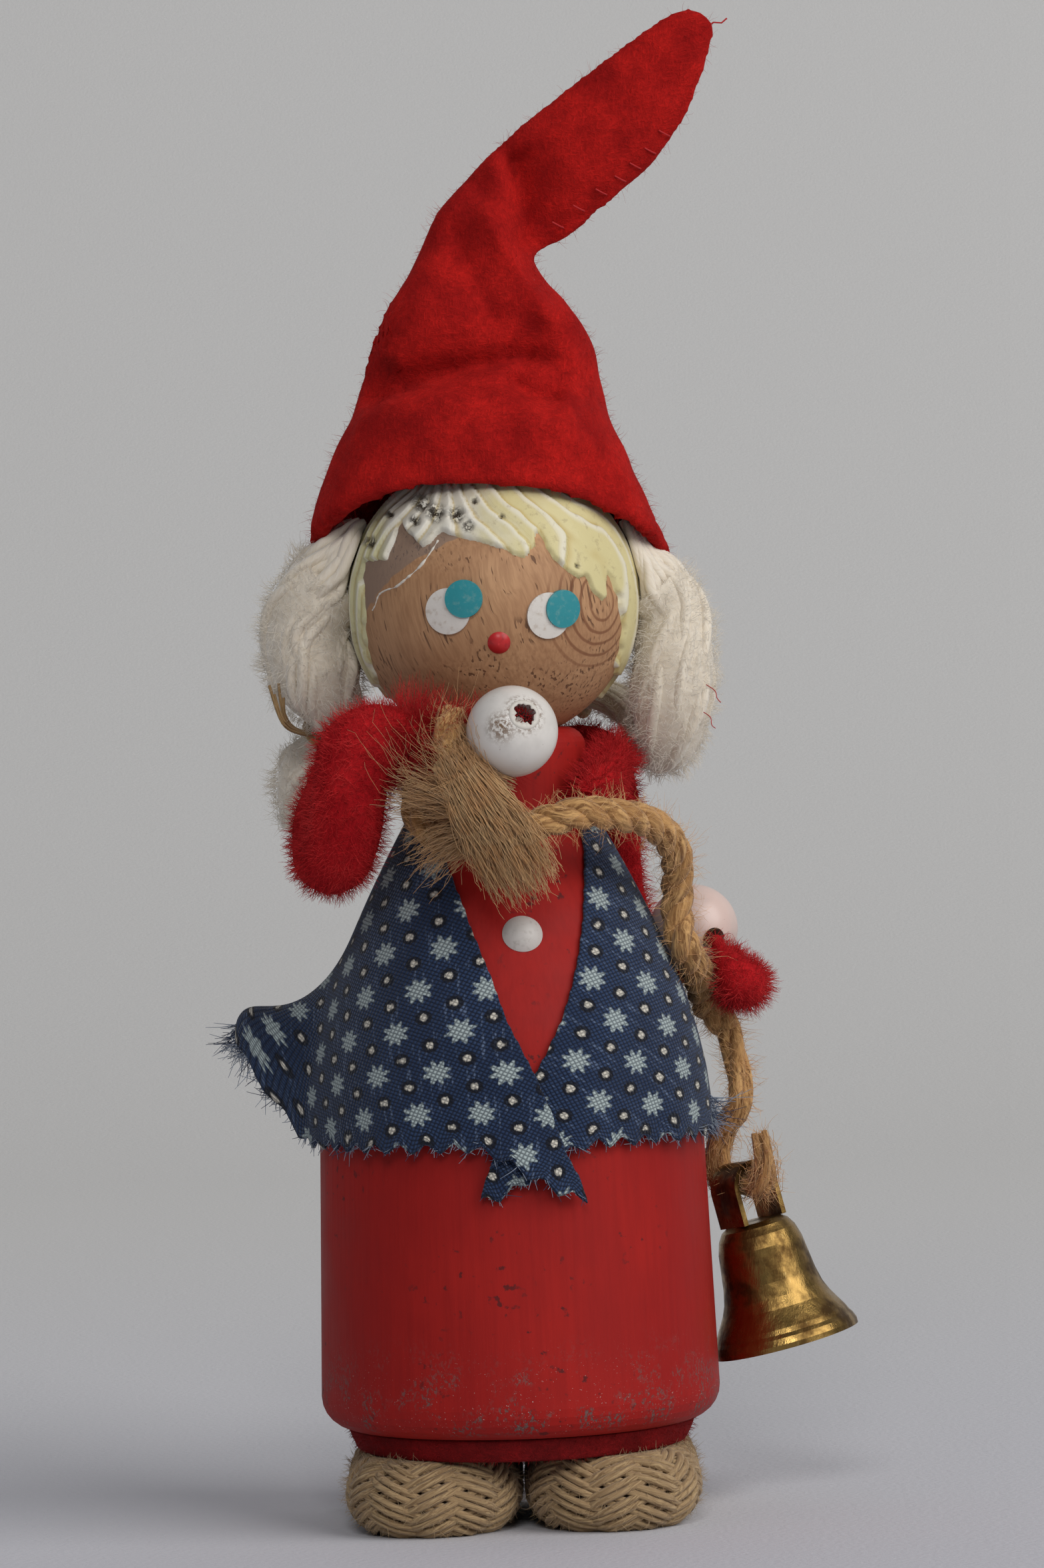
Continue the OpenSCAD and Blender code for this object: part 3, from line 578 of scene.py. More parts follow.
def baked(shape, name):
    mesh = bpy.data.meshes.new(name)
    shape.to_mesh(mesh)
    shape.free()
    return mesh


sole_mesh = baked(shape, "sole")
shown("sole", sole_mesh, sole_felt, "sole_felt", "base_disc")
fuzz("sole_fuzz", "sole_felt", sole_mesh, sole_hair, 8, 2.0, 0.7, 0.034, 0.8, 0.8, 3)

# Feet: each a hairpin of braided jute cord, twelve bundles of two yarns each
# way, two over and two under, pressed flat under the doll and under its sole
foot_x, bend_r, toe_bend_y, heel_y = 9.75 * mm, 5.1 * mm, -8.4 * mm, 14 * mm
foot_mid, cord_r, half_flat = 4.1 * mm, 4.5 * mm, 4.1 * mm
yarn_r, braid_wave = 0.43 * mm, 0.27 * mm
bundles, braid_turn = 12, 34 * mm
leg, bend = heel_y - toe_bend_y, math.pi * bend_r
hairpin_length = 2 * leg + bend
yarn_steps, core_steps, cut_ends = 150, 40, 40
foot_jute = fibre_finish("jute braid", (120, 94, 64), (160, 132, 96), (192, 164, 122), 90.0)
foot_hair = fibre_finish("jute braid fibres", (150, 122, 88), (176, 148, 110), (200, 174, 136))
shade_jute = plain("braid shadow", 0.95, rgb(84, 64, 44))


def hairpin(x, along):
    """The cord's middle and its outward direction, along metres from a heel."""
    if along < leg:
        return Vector((x + bend_r, heel_y - along, foot_mid)), Vector((1, 0, 0))
    if along < leg + bend:
        a = (along - leg) / bend_r
        out = Vector((math.cos(a), -math.sin(a), 0))
        return Vector((x, toe_bend_y, foot_mid)) + bend_r * out, out
    return Vector((x - bend_r, toe_bend_y + along - leg - bend, foot_mid)), Vector((-1, 0, 0))


for name, x, node in (("braid_right", -foot_x, "foot_right"), ("braid_left", foot_x, "foot_left")):
    lines, radii = [], []
    for way in (1, -1):
        for k in range(bundles):
            for beside in (-1, 1):
                line = []
                for i in range(yarn_steps + 1):
                    s = hairpin_length * i / yarn_steps
                    middle, out = hairpin(x, s)
                    a = math.tau * (k / bundles + way * s / braid_turn) + beside * 0.108
                    crossing = 2 * bundles * s / braid_turn
                    lift = way * braid_wave * math.cos(math.pi / 2 * crossing + math.pi / 4)
                    r = cord_r - yarn_r - braid_wave * 0.6 + lift
                    highest = half_flat - yarn_r * 0.9
                    up = max(min(r * math.sin(a), highest), -highest)
                    line.append(middle + r * math.cos(a) * out + up * Vector((0, 0, 1)))
                lines.append(line)
                radii.append([yarn_r * (1 + 0.12 * noise.noise(p * 900)) for p in line])
    braid = tubes(name, lines, radii, 6)
    shown(name, braid, foot_jute, "jute_braid", node)
    # A dark core under the yarns: painted shade in the gaps of the braid
    core = [hairpin(x, hairpin_length * i / core_steps)[0] for i in range(core_steps + 1)]
    inside = tubes(name + "_core", [core], [[cord_r - 1.0 * mm] * len(core)], 12)
    shown(name + "_core", inside, shade_jute, "jute_braid")
    ends = []
    for middle in (core[0], core[-1]):
        for i in range(cut_ends):
            r, a = 3.2 * mm * math.sqrt((i + 0.5) / cut_ends), 2.4 * i
            across, z = r * math.cos(a), foot_mid + 0.9 * r * math.sin(a)
            begin = Vector((middle.x + across, heel_y - 1.5 * mm, z))
            ends.append([begin, Vector((middle.x + 1.05 * across, heel_y + 0.1 * mm, z))])
    cut = tubes(name + "_cut", ends, [[yarn_r * 1.1, yarn_r]] * len(ends), 7)
    shown(name + "_cut", cut, foot_jute, "jute_braid")
    fuzz(name + "_fuzz", "jute_braid", braid, foot_hair, 12, 0.75, 1.5, 0.027, 0.8, 1.0, 3)

# Head: a plain beech ball. Dark rays fleck it along the grain, growth rings
# show as bows on its left cheek, and paint has flaked off its right temple.
head_place = Vector((0, 0, 100.69)) * mm
head_r = 15.5 * mm
photo_size = (1568, 2356)
sight = camera.matrix_world.inverted()


def in_photo(place):
    """The photograph's column and row where a place shows."""
    seen = sight @ place
    scale = view.lens / view.sensor_width * photo_size[1] / -seen.z
    return Vector((photo_size[0] / 2 + seen.x * scale, photo_size[1] / 2 - seen.y * scale))


def on_ball(column, row, middle, r):
    """Where a spot of the photograph lies on the near side of a ball."""
    scale = view.sensor_width / view.lens / photo_size[1]
    across, up = (column - photo_size[0] / 2) * scale, (photo_size[1] / 2 - row) * scale
    ray = (camera.matrix_world.to_3x3() @ Vector((across, up, -1))).normalized()
    off = eye_place - middle
    near = -ray.dot(off) - math.sqrt(ray.dot(off) ** 2 - off.length_squared + r * r)
    return eye_place + ray * near


beech, shader, place, _ = finish("bare beech", 0.6, specular=0.3)
ball = stretched(place, (1, 1, 1), (0, 0, 0), tuple(-head_place))
cloudy = grain(ball, 110, 3.0)
bent = vectors("ADD", ball, times(cloudy, 2.2 * mm))
tilted = stretched(bent, (1, 1, 1), (0, math.radians(12), 0))
fine = grain(stretched(tilted, (1, 1, 0.06)), 3000, 3.0)
wood = tint(between(cloudy, 0.3, 0.7), rgb(172, 129, 93), rgb(190, 147, 108))
wood = tint(between(fine, 0.35, 0.7, 0, 0.4), wood, rgb(132, 90, 60))
dash = grain(stretched(tilted, (1, 1, 0.07)), 2500, 1.0, 0.5)
fleck = between(dash, 0.6, 0.67)
where = grain(ball, 210, 2.0)
fleck = times(fleck, between(where, 0.42, 0.58, 0.1, 1))
wood = tint(times(fleck, 0.75), wood, rgb(76, 44, 28))
ring_way = (on_ball(905, 902, head_place, head_r) - head_place).normalized()
ring_down = Vector((0.15, -0.3, -1)).normalized()
out = vectors("LENGTH", vectors("CROSS_PRODUCT", ball, tuple(ring_way)))
below = vectors("DOT_PRODUCT", ball, tuple(ring_down))
warped = calc("MULTIPLY_ADD", cloudy, 1.4 * mm, out)
rings = calc("SINE", times(warped, math.tau / (1.25 * mm)), 0)
near = times(between(out, 6.2 * mm, 8.5 * mm, 1, 0.2), between(out, 1.4 * mm, 2.2 * mm))
near = times(near, between(out, 12 * mm, 15 * mm, 1, 0))
open_top = between(calc("DIVIDE", below, out), 0.15, 0.75)
ring_mark = times(between(rings, 0.45, 0.97), times(near, open_top))
wood = tint(times(ring_mark, 0.75), wood, rgb(116, 70, 44))
flake_from = on_ball(686, 808, head_place, head_r) - head_place
flake_to = on_ball(556, 912, head_place, head_r) - head_place
flake_way = flake_to.cross(flake_from).normalized()
beyond = vectors("DOT_PRODUCT", ball, tuple(flake_way))
beyond = calc("MULTIPLY_ADD", calc("SUBTRACT", where, 0.5), 3.2 * mm, beyond)
flaked = between(beyond, -0.1 * mm, 0.1 * mm, 0, 0.75)
wood = tint(flaked, wood, rgb(134, 116, 104))
laid_on(shader, wood)
relief(shader, calc("SUBTRACT", times(fine, 0.4), fleck), 0.05 * mm)
cover(beech, "head")
dowel_wood, shader, place, _ = finish("dowel wood", 0.6)
fine = grain(stretched(place, (1, 1, 0.05)), 1800)
laid_on(shader, tint(fine, rgb(196, 156, 112), rgb(214, 176, 132)))
cover(dowel_wood, "neck_dowel")

# Painted hair: thick white and yellow paint combed on in overlapping strokes
# that fan out from the crown. Its edge is ragged, and it has chipped to brown.
hair_thick = 0.66 * mm
hair_inside = 15.2 * mm
edge_ramp = 0.26 * mm
nape_line = 90.2 * mm
strokes, stroke_deep = 27, 0.42 * mm
stroke_pole = Vector((-0.25, -0.2, 0.95)).normalized()
# Corners of the bare face, and chips with their sizes, in a picture of the
# face three times the photograph's size that starts at column 480, row 720
face_edge = [
    (300, 1400), (300, 980), (270, 930), (240, 850), (215, 770), (215, 720), (205, 650),
    (205, 540), (195, 440), (205, 375), (215, 365), (250, 365), (300, 360), (325, 320),
    (345, 270), (360, 215), (375, 195), (400, 240), (430, 265), (465, 310), (500, 290),
    (535, 250), (555, 237), (600, 255), (640, 262), (690, 272), (740, 290), (790, 300),
    (820, 310), (860, 335), (915, 352), (945, 325), (965, 300), (972, 245), (985, 240),
    (1015, 290), (1050, 350), (1100, 405), (1165, 440), (1195, 430), (1215, 470),
    (1240, 520), (1270, 550), (1290, 530), (1285, 470), (1290, 420), (1310, 440),
    (1330, 500), (1345, 540), (1355, 600), (1360, 660), (1350, 760), (1330, 830), (1340, 1400),
]
chips = [
    (242, 292, 40), (470, 120, 60), (530, 165, 60), (620, 170, 50), (670, 220, 36),
    (700, 110, 22), (440, 200, 36), (330, 170, 26), (1150, 395, 14), (820, 180, 18),
]


def inside_by(place, corners):
    """How far a flat place lies inside a ring of corners, less than zero outside."""
    nearest, inside = 1e9, False
    for a, b in zip(corners, corners[1:] + corners[:1]):
        along = b - a
        share = max(0.0, min(1.0, (place - a).dot(along) / along.length_squared))
        nearest = min(nearest, (place - a - share * along).length)
        if (a.y > place.y) != (b.y > place.y):
            if place.x < a.x + (place.y - a.y) * along.x / along.y:
                inside = not inside
    return nearest if inside else -nearest


def eased(share):
    share = max(0.0, min(1.0, share))
    return share * share * (3 - 2 * share)


def face_spot(x, y):
    return Vector((480 + x / 3, 720 + y / 3))


bare_face = [face_spot(x, y) for x, y in face_edge]
chip_spots = [(face_spot(x, y), size / 3) for x, y, size in chips]
pixel = 0.0731 * mm
pole_side = stroke_pole.cross(Vector((0, 1, 0))).normalized()
pole_front = stroke_pole.cross(pole_side)


def stroke_at(way):
    """How high in its stroke a direction lies, 0 to 1, and that stroke's level."""
    turn = math.atan2(way.dot(pole_front), way.dot(pole_side)) / math.tau
    rank = turn * strokes + 1.5 * noise.noise(way * 1.8) + 0.12 * noise.noise(way * 9)
    share = rank % 1
    level = noise.noise(Vector((math.floor(rank) % strokes * 1.37, 0.5, 0.25)))
    return min(share / 0.82, 1) ** 0.7 * (1 - eased((share - 0.84) / 0.16)), level


shape = bmesh.new()
bmesh.ops.create_cube(shape, size=2)
bmesh.ops.subdivide_edges(shape, edges=shape.edges, cuts=99, use_grid_fill=True)
marked = shape.verts.layers.float_color.new("stroke")
for v in shape.verts:
    way = v.co.normalized()
    place = head_place + head_r * way
    chipped = 0.0
    edge = 3 * mm
    if way.y < 0.12:
        spot = in_photo(place)
        edge = -pixel * inside_by(spot, bare_face)
        for middle, size in chip_spots:
            chipped = max(chipped, 1 - (spot - middle).length / size)
    ragged = 0.2 * mm * noise.noise(place * 900)
    edge = min(edge, place.z - nape_line + 1.6 * mm * noise.noise(place * 220)) + ragged
    ridge, level = stroke_at(way)
    chip = eased(chipped * 1.2) * (noise.noise(place * 1300) > -0.1)
    rise = hair_thick * (0.72 + 0.2 * level) + stroke_deep * (ridge - 0.5) * (1 - chip)
    rise -= 0.3 * mm * chip
    share = eased(edge / edge_ramp + 0.45)
    v.co = head_place + way * (head_r - 0.12 * mm + share * (rise + 0.12 * mm))
    v[marked] = (ridge, 0.5 + level, eased(chipped * 1.3), 1)
sunk = {v for v in shape.verts if (v.co - head_place).length < head_r - 0.1 * mm}
bare = [f for f in shape.faces if sunk.issuperset(f.verts)]
bmesh.ops.delete(shape, geom=bare, context="FACES")
ring = [e for e in shape.edges if e.is_boundary]
skirt = bmesh.ops.extrude_edge_only(shape, edges=ring)["geom"]
for v in [g for g in skirt if isinstance(g, bmesh.types.BMVert)]:
    v.co = head_place + (v.co - head_place).normalized() * hair_inside
bmesh.ops.holes_fill(shape, edges=[e for e in shape.edges if e.is_boundary], sides=0)
bmesh.ops.recalc_face_normals(shape, faces=shape.faces)

hair_white, shader, place, _ = finish("hair paint", 0.55, coat=0.1, specular=0.35)
ball = stretched(place, (1, 1, 1), (0, 0, 0), tuple(-head_place))
marks = put("ShaderNodeAttribute", {}, shader.id_data, attribute_name="stroke").outputs["Color"]
marks = put("ShaderNodeSeparateColor", {0: marks}).outputs
patches = grain(ball, 150, 3.0)
sideways = parts_of(ball)[0]
yellowed = calc("MULTIPLY_ADD", patches, 16 * mm, sideways)
paint = tint(between(yellowed, 4 * mm, 13 * mm), rgb(214, 208, 192), rgb(210, 198, 146))
left_side = between(sideways, -12.4 * mm, -10.6 * mm, 1, 0)
paint = tint(left_side, paint, rgb(206, 200, 156))
bristle = put("ShaderNodeCombineXYZ", {0: times(marks[0], 7.0), 1: times(marks[1], 40.0)})
bristle = grain(bristle.outputs[0], 1.0, 3.0, 0.7)
# Darker ochre at the low foot of each stroke, in the grooves between strokes: painted shade
paint = tint(between(marks[0], 0.02, 0.34, 0.7, 0), paint, rgb(188, 164, 100))
paint = tint(between(bristle, 0.56, 0.72, 0, 0.35), paint, rgb(180, 160, 110))
# Whiter towards the crests of the strokes
paint = tint(between(marks[0], 0.72, 0.95, 0, 0.6), paint, rgb(230, 226, 214))
dirty = grain(ball, 900, 4.0, 0.7)
paint = tint(between(dirty, 0.56, 0.7, 0, 0.4), paint, rgb(150, 130, 96))
brown = times(marks[2], between(grain(ball, 1500, 4.0, 0.7), 0.42, 0.52))
paint = tint(brown, paint, rgb(52, 42, 30))
laid_on(shader, paint)
relief(shader, calc("SUBTRACT", dirty, brown), 0.08 * mm)
shown("hair", baked(shape, "hair"), hair_white, "hair_paint", "hair_paint")

# Flake: the thin white rim of paint that was left along the edge of the
# patch that has flaked off the right temple
flake_edge = [
    (535, 275), (500, 330), (460, 385), (430, 415), (395, 445),
    (345, 485), (300, 500), (268, 522), (250, 570), (238, 592),
]
flake_line = smooth_line([face_spot(x, y) for x, y in flake_edge], 8)
flake_line = [on_ball(v.x, v.y, head_place, head_r) for v in flake_line]
flake_widths = [
    mm * max(0.03, 0.1 + 0.14 * noise.noise(Vector((i * 0.37, 0.4, 0))))
    for i in range(len(flake_line))
]
rim_mesh = tubes("paint_rim", [flake_line], [flake_widths], 8)
shown("paint_rim", rim_mesh, plain("paint rim", 0.55, rgb(214, 208, 196)), "hair_paint")

# Face marks and the button: drops of gloss paint that have pulled flat. Dust
# has stuck in them and dulls their shine.
gloss_marks, given = effect(
    "gloss marks",
    {"Place": "Vector", "Clean": "Color", "Dirt": "Color"},
    {"Colour": "Color", "Height": "Float"},
)
dust = between(grain(given["Place"], 1500, 4.0), 0.5, 0.75, 0, 0.5)
dusty = tint(dust, given["Clean"], given["Dirt"])
put("NodeGroupOutput", {"Colour": dusty, "Height": grain(given["Place"], 700, 2.0)})


def gloss(name, clean, rough, dirt):
    made, shader, place, _ = finish(name, rough, coat=0.08, specular=0.35)
    shader.inputs["Coat Roughness"].default_value = 0.3
    sockets = {"Place": place, "Clean": clean, "Dirt": dirt}
    marks = put("ShaderNodeGroup", sockets, node_tree=gloss_marks).outputs
    laid_on(shader, marks["Colour"])
    relief(shader, marks["Height"], 0.06 * mm)
    return made


for node, *looks in (
    ("eye_whites", "eye white paint", rgb(214, 208, 200), 0.45, rgb(170, 150, 130)),
    ("eye_irises", "eye teal paint", rgb(44, 136, 144), 0.35, rgb(120, 160, 156)),
    ("nose_dot", "nose paint", rgb(184, 36, 38), 0.35, rgb(120, 20, 24)),
    ("button_dot", "button paint", rgb(196, 190, 184), 0.4, rgb(150, 140, 130)),
):
    cover(gloss(*looks), node)

# Hat: stiff felt, wetted and pulled into shape. It is folded flat at its tip
# and sewn there, has soft dents, and one thread has come loose.
hat_felt = felt_finish("hat felt", rgb(156, 19, 18), rgb(200, 31, 26))
hat_hair = felt_finish("hat fibres", rgb(180, 32, 32), rgb(200, 48, 44))
hat_voxel = 0.62 * mm
# Folds: lines in a picture of the hat 1.1 times the photograph's size from
# column 440, with how deep they go in and how wide they are on the side of the
# line that faces up or right and on the other side, in mm
hat_folds = [
    ([(96, 676), (150, 652), (210, 628), (290, 602), (370, 588), (460, 596)], 3.9, 4.2, 1.0),
    ([(350, 616), (392, 652), (452, 664)], 2.2, 1.8, 0.8),
    ([(360, 690), (420, 706), (480, 694)], -0.8, 1.8, 1.8),
    ([(300, 320), (340, 400), (392, 480), (440, 556)], -1.9, 1.9, 1.5),
    ([(262, 350), (286, 420), (320, 500), (350, 550)], 1.2, 1.6, 3.4),
    ([(352, 236), (372, 300), (378, 360), (372, 424)], 2.8, 3.2, 0.9),
    ([(320, 250), (340, 300), (350, 360), (360, 410)], -0.8, 1.2, 1.2),
    ([(400, 412), (460, 366), (540, 318), (600, 262), (640, 190), (672, 96)], 0.8, 1.6, 0.7),
    ([(418, 424), (480, 372), (552, 330), (618, 272), (660, 190), (690, 100)], -0.5, 0.8, 0.8),
    ([(430, 300), (520, 210), (600, 120)], -0.7, 2.6, 2.6),
    ([(214, 400), (250, 350), (296, 306)], -0.8, 1.6, 1.6),
    ([(100, 750), (200, 770), (330, 755)], 0.6, 2.4, 2.0),
    ([(470, 740), (500, 800), (540, 850)], 0.7, 2.0, 2.0),
]
hat_seam = [
    (9.9, 140.8), (13.6, 143.5), (16.9, 145.6), (19.4, 147.7),
    (21.9, 150.4), (23.1, 153.6), (24.9, 157.6), (26, 161.6),
]


def closed_copy(node):
    """A CAD mesh with its doubled corners merged, to work on."""
    shape = bmesh.new()
    shape.from_mesh(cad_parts[node].data)
    bmesh.ops.remove_doubles(shape, verts=shape.verts, dist=0.001 * mm)
    bmesh.ops.recalc_face_normals(shape, faces=shape.faces)
    return shape


def evaluated(mesh, *modifiers):
    """The mesh after some modifiers, each given as its kind and settings."""
    bare = bpy.data.objects.new(mesh.name, mesh)
    for kind, settings in modifiers:
        modifier = bare.modifiers.new(kind, kind)
        for name, value in settings.items():
            setattr(modifier, name, value)
    return final_mesh(bare)


hat_mesh = evaluated(
    baked(closed_copy("hat"), "hat_felt"),
    ("REMESH", {"mode": "VOXEL", "voxel_size": hat_voxel}),
    ("SMOOTH", {"factor": 0.5, "iterations": 5}),
)
fold_lines = [
    ([Vector((440 + x / 1.1, y / 1.1)) for x, y in line], deep, over, under)
    for line, deep, over, under in hat_folds
]
hat_middles = smooth_line([2.9, 2.3, 1.6, 1.0, 0.5, 0, -0.4, -0.7], 10)


def line_gap(spot, line):
    """How far a flat spot lies from a line, on which side, and the share of the
    line beside it."""
    best = (1e9, 0, 0)
    for i, (a, b) in enumerate(zip(line, line[1:])):
        share = max(0.0, min(1.0, (spot - a).dot(b - a) / (b - a).length_squared))
        off = spot - a - share * (b - a)
        side = (b - a).x * off.y - (b - a).y * off.x
        best = min(best, (off.length, side, (i + share) / (len(line) - 1)))
    return best


for v in hat_mesh.vertices:
    level = min(max((v.co.z / mm - 106) / 59, 0), 1)
    behind = v.co.y - hat_middles[round(level * (len(hat_middles) - 1))] * mm
    front = eased(0.5 - behind / (3.4 * mm))
    push = 0.0
    if front > 0:
        spot = in_photo(v.co)
        for line, deep, over, under in fold_lines:
            off, side, share = line_gap(spot, line)
            off *= pixel
            wide = over if side < 0 else under
            if off < 3 * wide * mm:
                ends = eased(5 * min(share, 1 - share) + 0.1)
                push += deep * mm * ends * math.exp(-((off / wide / mm) ** 1.35))
    drop = 1.1 * mm * eased((118 * mm - v.co.z) / (9 * mm))
    wrinkle = noise.noise(v.co * 110) * 0.6 * mm + noise.noise(v.co * 300) * 0.22 * mm
    v.co = v.co + Vector((0, push * front, -drop)) + v.normal * (0.22 * mm + wrinkle)
shown("felt_hat", hat_mesh, hat_felt, "felt_red", "hat")
fuzz("hat_fuzz", "felt_red", hat_mesh, hat_hair, 21, 1.15, 1.3, 0.018, 1.3, 1.8)
hat_thread = plain("hat thread", 0.7, rgb(176, 24, 26))
seam_line = smooth_line([Vector((x - 0.9, -0.7, z + 0.7)) * mm for x, z in hat_seam], 3)
stitch = in_metres([(-1.1, -0.9, 0.5), (-0.4, -0.7, 0.1), (0.1, -0.1, -0.1), (0, 0.7, 0.1)])
stitch_lines = [[p + q for q in stitch] for p in seam_line[::2]]
stitch_lines.append(
    in_metres([(25.2, -0.4, 162.4), (26.3, -0.5, 163.3), (27.2, -0.6, 163.2), (27.8, -0.4, 163.7)])
)
stitches = tubes("hat_stitches", stitch_lines, [[0.09 * mm] * 4] * len(stitch_lines), 8)
shown("hat_stitches", stitches, hat_thread, "felt_red")

# Bunches: cream two-ply wool yarn, doubled up beside the ears and tied with
# twine. The yarn's ends show as tails below the ties.
crown_r = 16.3 * mm
bunch_r = 5.6 * mm
yarns_in_bunch, ply_pitch = 46, 5.5 * mm
right_bunch = [
    (-0.86, 0.1, 0.5, 0.45), (-0.97, 0.02, 0.34, 0.68), (-1.13, 0.1, 0.13, 0.9),
    (-1.25, 0.17, -0.12, 0.95), (-1.22, 0.21, -0.42, 0.97), (-1.14, 0.3, -0.66, 0.7),
    (-1.14, 0.43, -0.84, 0.36), (-1.3, 0.68, -1.12, 0.68), (-1.38, 0.82, -1.48, 0.45),
]
left_bunch = [
    (0.86, 0.1, 0.45, 0.38), (0.93, 0.04, 0.3, 0.5), (1.05, 0.08, 0.11, 0.72),
    (1.19, 0.13, -0.1, 0.74), (1.21, 0.13, -0.38, 0.84), (1.18, 0.16, -0.68, 0.85),
    (1.13, 0.32, -0.97, 0.7), (1.03, 0.58, -0.98, 0.48), (0.88, 0.73, -0.74, 0.38),
    (0.6, 0.83, -0.63, 0.33), (0.36, 0.92, -0.68, 0.42),
]
wool = fibre_finish(
    "wool yarn", (222, 209, 188), (229, 218, 199), (234, 225, 209), 180.0, 0.6, 0.04
)
wool_hair = fibre_finish(
    "wool fibres", (228, 218, 200), (232, 223, 207), (235, 227, 213), 0.0, 0.6
)
for name, node, points, seed in (
    ("bunch_yarn_right", "bunch_right", right_bunch, 31),
    ("bunch_yarn_left", "bunch_left", left_bunch, 37),
):
    chance = random.Random(seed)
    middle = smooth_line([Vector((*p[:3], p[3])) for p in points], 7)
    places = [head_place + crown_r * p.to_3d() for p in middle]
    widths = [bunch_r * p.w for p in middle]
    frames = carried_frames(places)
    lines, radii = [], []
    for k in range(yarns_in_bunch):
        turn = math.tau * k * 0.618
        out = math.sqrt((k + 0.5) / yarns_in_bunch)
        twist, first = chance.uniform(0.3, 0.9), chance.uniform(0, math.tau)
        plies, radius = ([], []), []
        stop = len(places) - (chance.randint(0, 7) if k % 3 else 0)
        for i in range(stop):
            side, up = frames[i]
            t = i / len(places)
            yarn_r = min(0.86 * mm, widths[i] * 0.22)
            a = turn + twist * t * 2 + 0.3 * noise.noise(Vector((k, t * 6, 1)))
            r = out * (widths[i] - yarn_r) * (1 + 0.16 * noise.noise(Vector((k, t * 5, 9))))
            place = places[i] + r * (math.cos(a) * side + math.sin(a) * up)
            clear = (place - head_place).length
            if clear < crown_r + yarn_r:
                place = head_place + (place - head_place) * ((crown_r + yarn_r) / clear)
            lay = first + math.tau * i * (places[1] - places[0]).length / ply_pitch
            for ply, way in zip(plies, (1, -1)):
                ply.append(place + way * 0.5 * yarn_r * (math.cos(lay) * side + math.sin(lay) * up))
            radius.append(0.78 * yarn_r * (1 - 0.4 * max(0, t - 0.85) / 0.15))
        lines += plies
        radii += [radius, radius]
    shown(name, tubes(name, lines, radii, 6), wool, "wool_cream", node)
    clear_of_head = [(p - head_place).length > crown_r + 1.2 * mm for p in places]
    inside = [p for p, clear in zip(places, clear_of_head) if clear]
    filling = [0.9 * w for w, clear in zip(widths, clear_of_head) if clear]
    outside = tubes(name + "_outside", [inside], [[1.1 * w for w in filling]], 16)
    fuzz(name + "_fuzz", "wool_cream", outside, wool_hair, seed + 1, 7.0, 1.5, 0.03, 1.4, 2.6)
    core = tubes(name + "_core", [inside], [filling], 16)
    shown(name + "_core", core, wool, "wool_cream")
twine = fibre_finish("jute twine", (120, 92, 56), (160, 128, 84), (190, 158, 112), 0.5)
cover(twine, "tie_right", "tie_left")
twine_lines = []
for k, high in enumerate((2.4, 1.4, 2.6, 1.0)):
    twine_end = [
        (-19.2, 5.6, 86.6),
        (-21.6 - 0.2 * k, 2.6, 86.9 + 0.2 * k),
        (-23.6 + 0.1 * k, 0.4, 88.2 + 0.3 * k),
        (-24.9 + 0.5 * k, -0.4 + 0.2 * k, 90 + high),
    ]
    twine_lines.append(smooth_line(in_metres(twine_end), 6))
twine_ends = tubes("twine_ends", twine_lines, [[0.17 * mm] * 19] * 4, 8)
shown("twine_ends", twine_ends, twine, "jute_twine")
stray_lines = [
    smooth_line(in_metres(line), 5)
    for line in (
        [(23, -1.6, 90.8), (23.9, -2.4, 90.1), (24.1, -2.6, 89.3), (24.5, -2.4, 88.8)],
        [(22.6, -2.2, 87.8), (23.3, -3, 87.2), (23.4, -3.2, 86.4), (23.8, -2.9, 86)],
    )
]
stray_reds = tubes("stray_reds", stray_lines, [[0.05 * mm] * 16] * 2, 6)
shown("stray_reds", stray_reds, hat_thread, "chenille_red")

# Arms: one red chenille stem. The pile stands out round the right forearm and
# is matted flat elsewhere.
chenille = felt_finish("chenille core", rgb(170, 20, 28), rgb(200, 34, 38))
pile = felt_finish("chenille pile", rgb(196, 32, 38), rgb(232, 64, 64))
pile_sunk = 0.3 * mm
arm_shift = 1.5 * mm
wire_spots = [v.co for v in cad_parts["arm_wire"].data.vertices]
near_wire = kdtree.KDTree(len(wire_spots))
for i, spot in enumerate(wire_spots):
    near_wire.insert(spot, i)
near_wire.balance()
for name, node, seed, per_mm2 in (
    ("stem_right", "arm_right", 41, 7.5),
    ("stem_left", "arm_left", 43, 7.0),
):
    shape = closed_copy(node)
    shape.normal_update()
    for v in shape.verts:
        thick = near_wire.find(v.co)[2]
        sunk = min(pile_sunk, 0.45 * thick) * (thick > 0.45 * mm)
        sunk += 0.5 * mm * noise.noise(v.co * 330) * (thick > 1 * mm)
        v.co -= v.normal * sunk
        if node == "arm_right":
            low = eased((87.5 * mm - v.co.z) / (5 * mm))
            v.co.x += arm_shift * low * eased((-9 * mm - v.co.x) / (4 * mm))
    stem = evaluated(baked(shape, name), ("SUBSURF", {"levels": 1, "render_levels": 1}))
    shown(name, stem, chenille, "chenille_red", node)
    fuzz(name + "_pile", "chenille_red", stem, pile, seed, per_mm2, 1.7, 0.036, 0.8, 1.1, 3)
wrist_points = [
    (0.6, -16.2, 85), (-1.8, -15.8, 84.6), (-4, -16, 84.9), (-8.3, -16.3, 86.8), (-11, -16, 87.2),
]
wrist_line = smooth_line(in_metres(wrist_points), 4)
wrist = tubes("wrist_ground", [wrist_line], [[1.5 * mm] * len(wrist_line)], 8)
fuzz("wrist_pile", "chenille_red", wrist, pile, 47, 26, 5.2, 0.036, 0.45, 0.3)
shoulder_points = [(12.4, 3, 83.4), (12.4, -2.4, 82.4), (10.8, -6.6, 80.6), (9.6, -8.6, 78.4)]
elbow_points = [(24.4, 7.2, 60.8), (24.6, 5.6, 58.6), (23.4, 4.6, 56.6)]
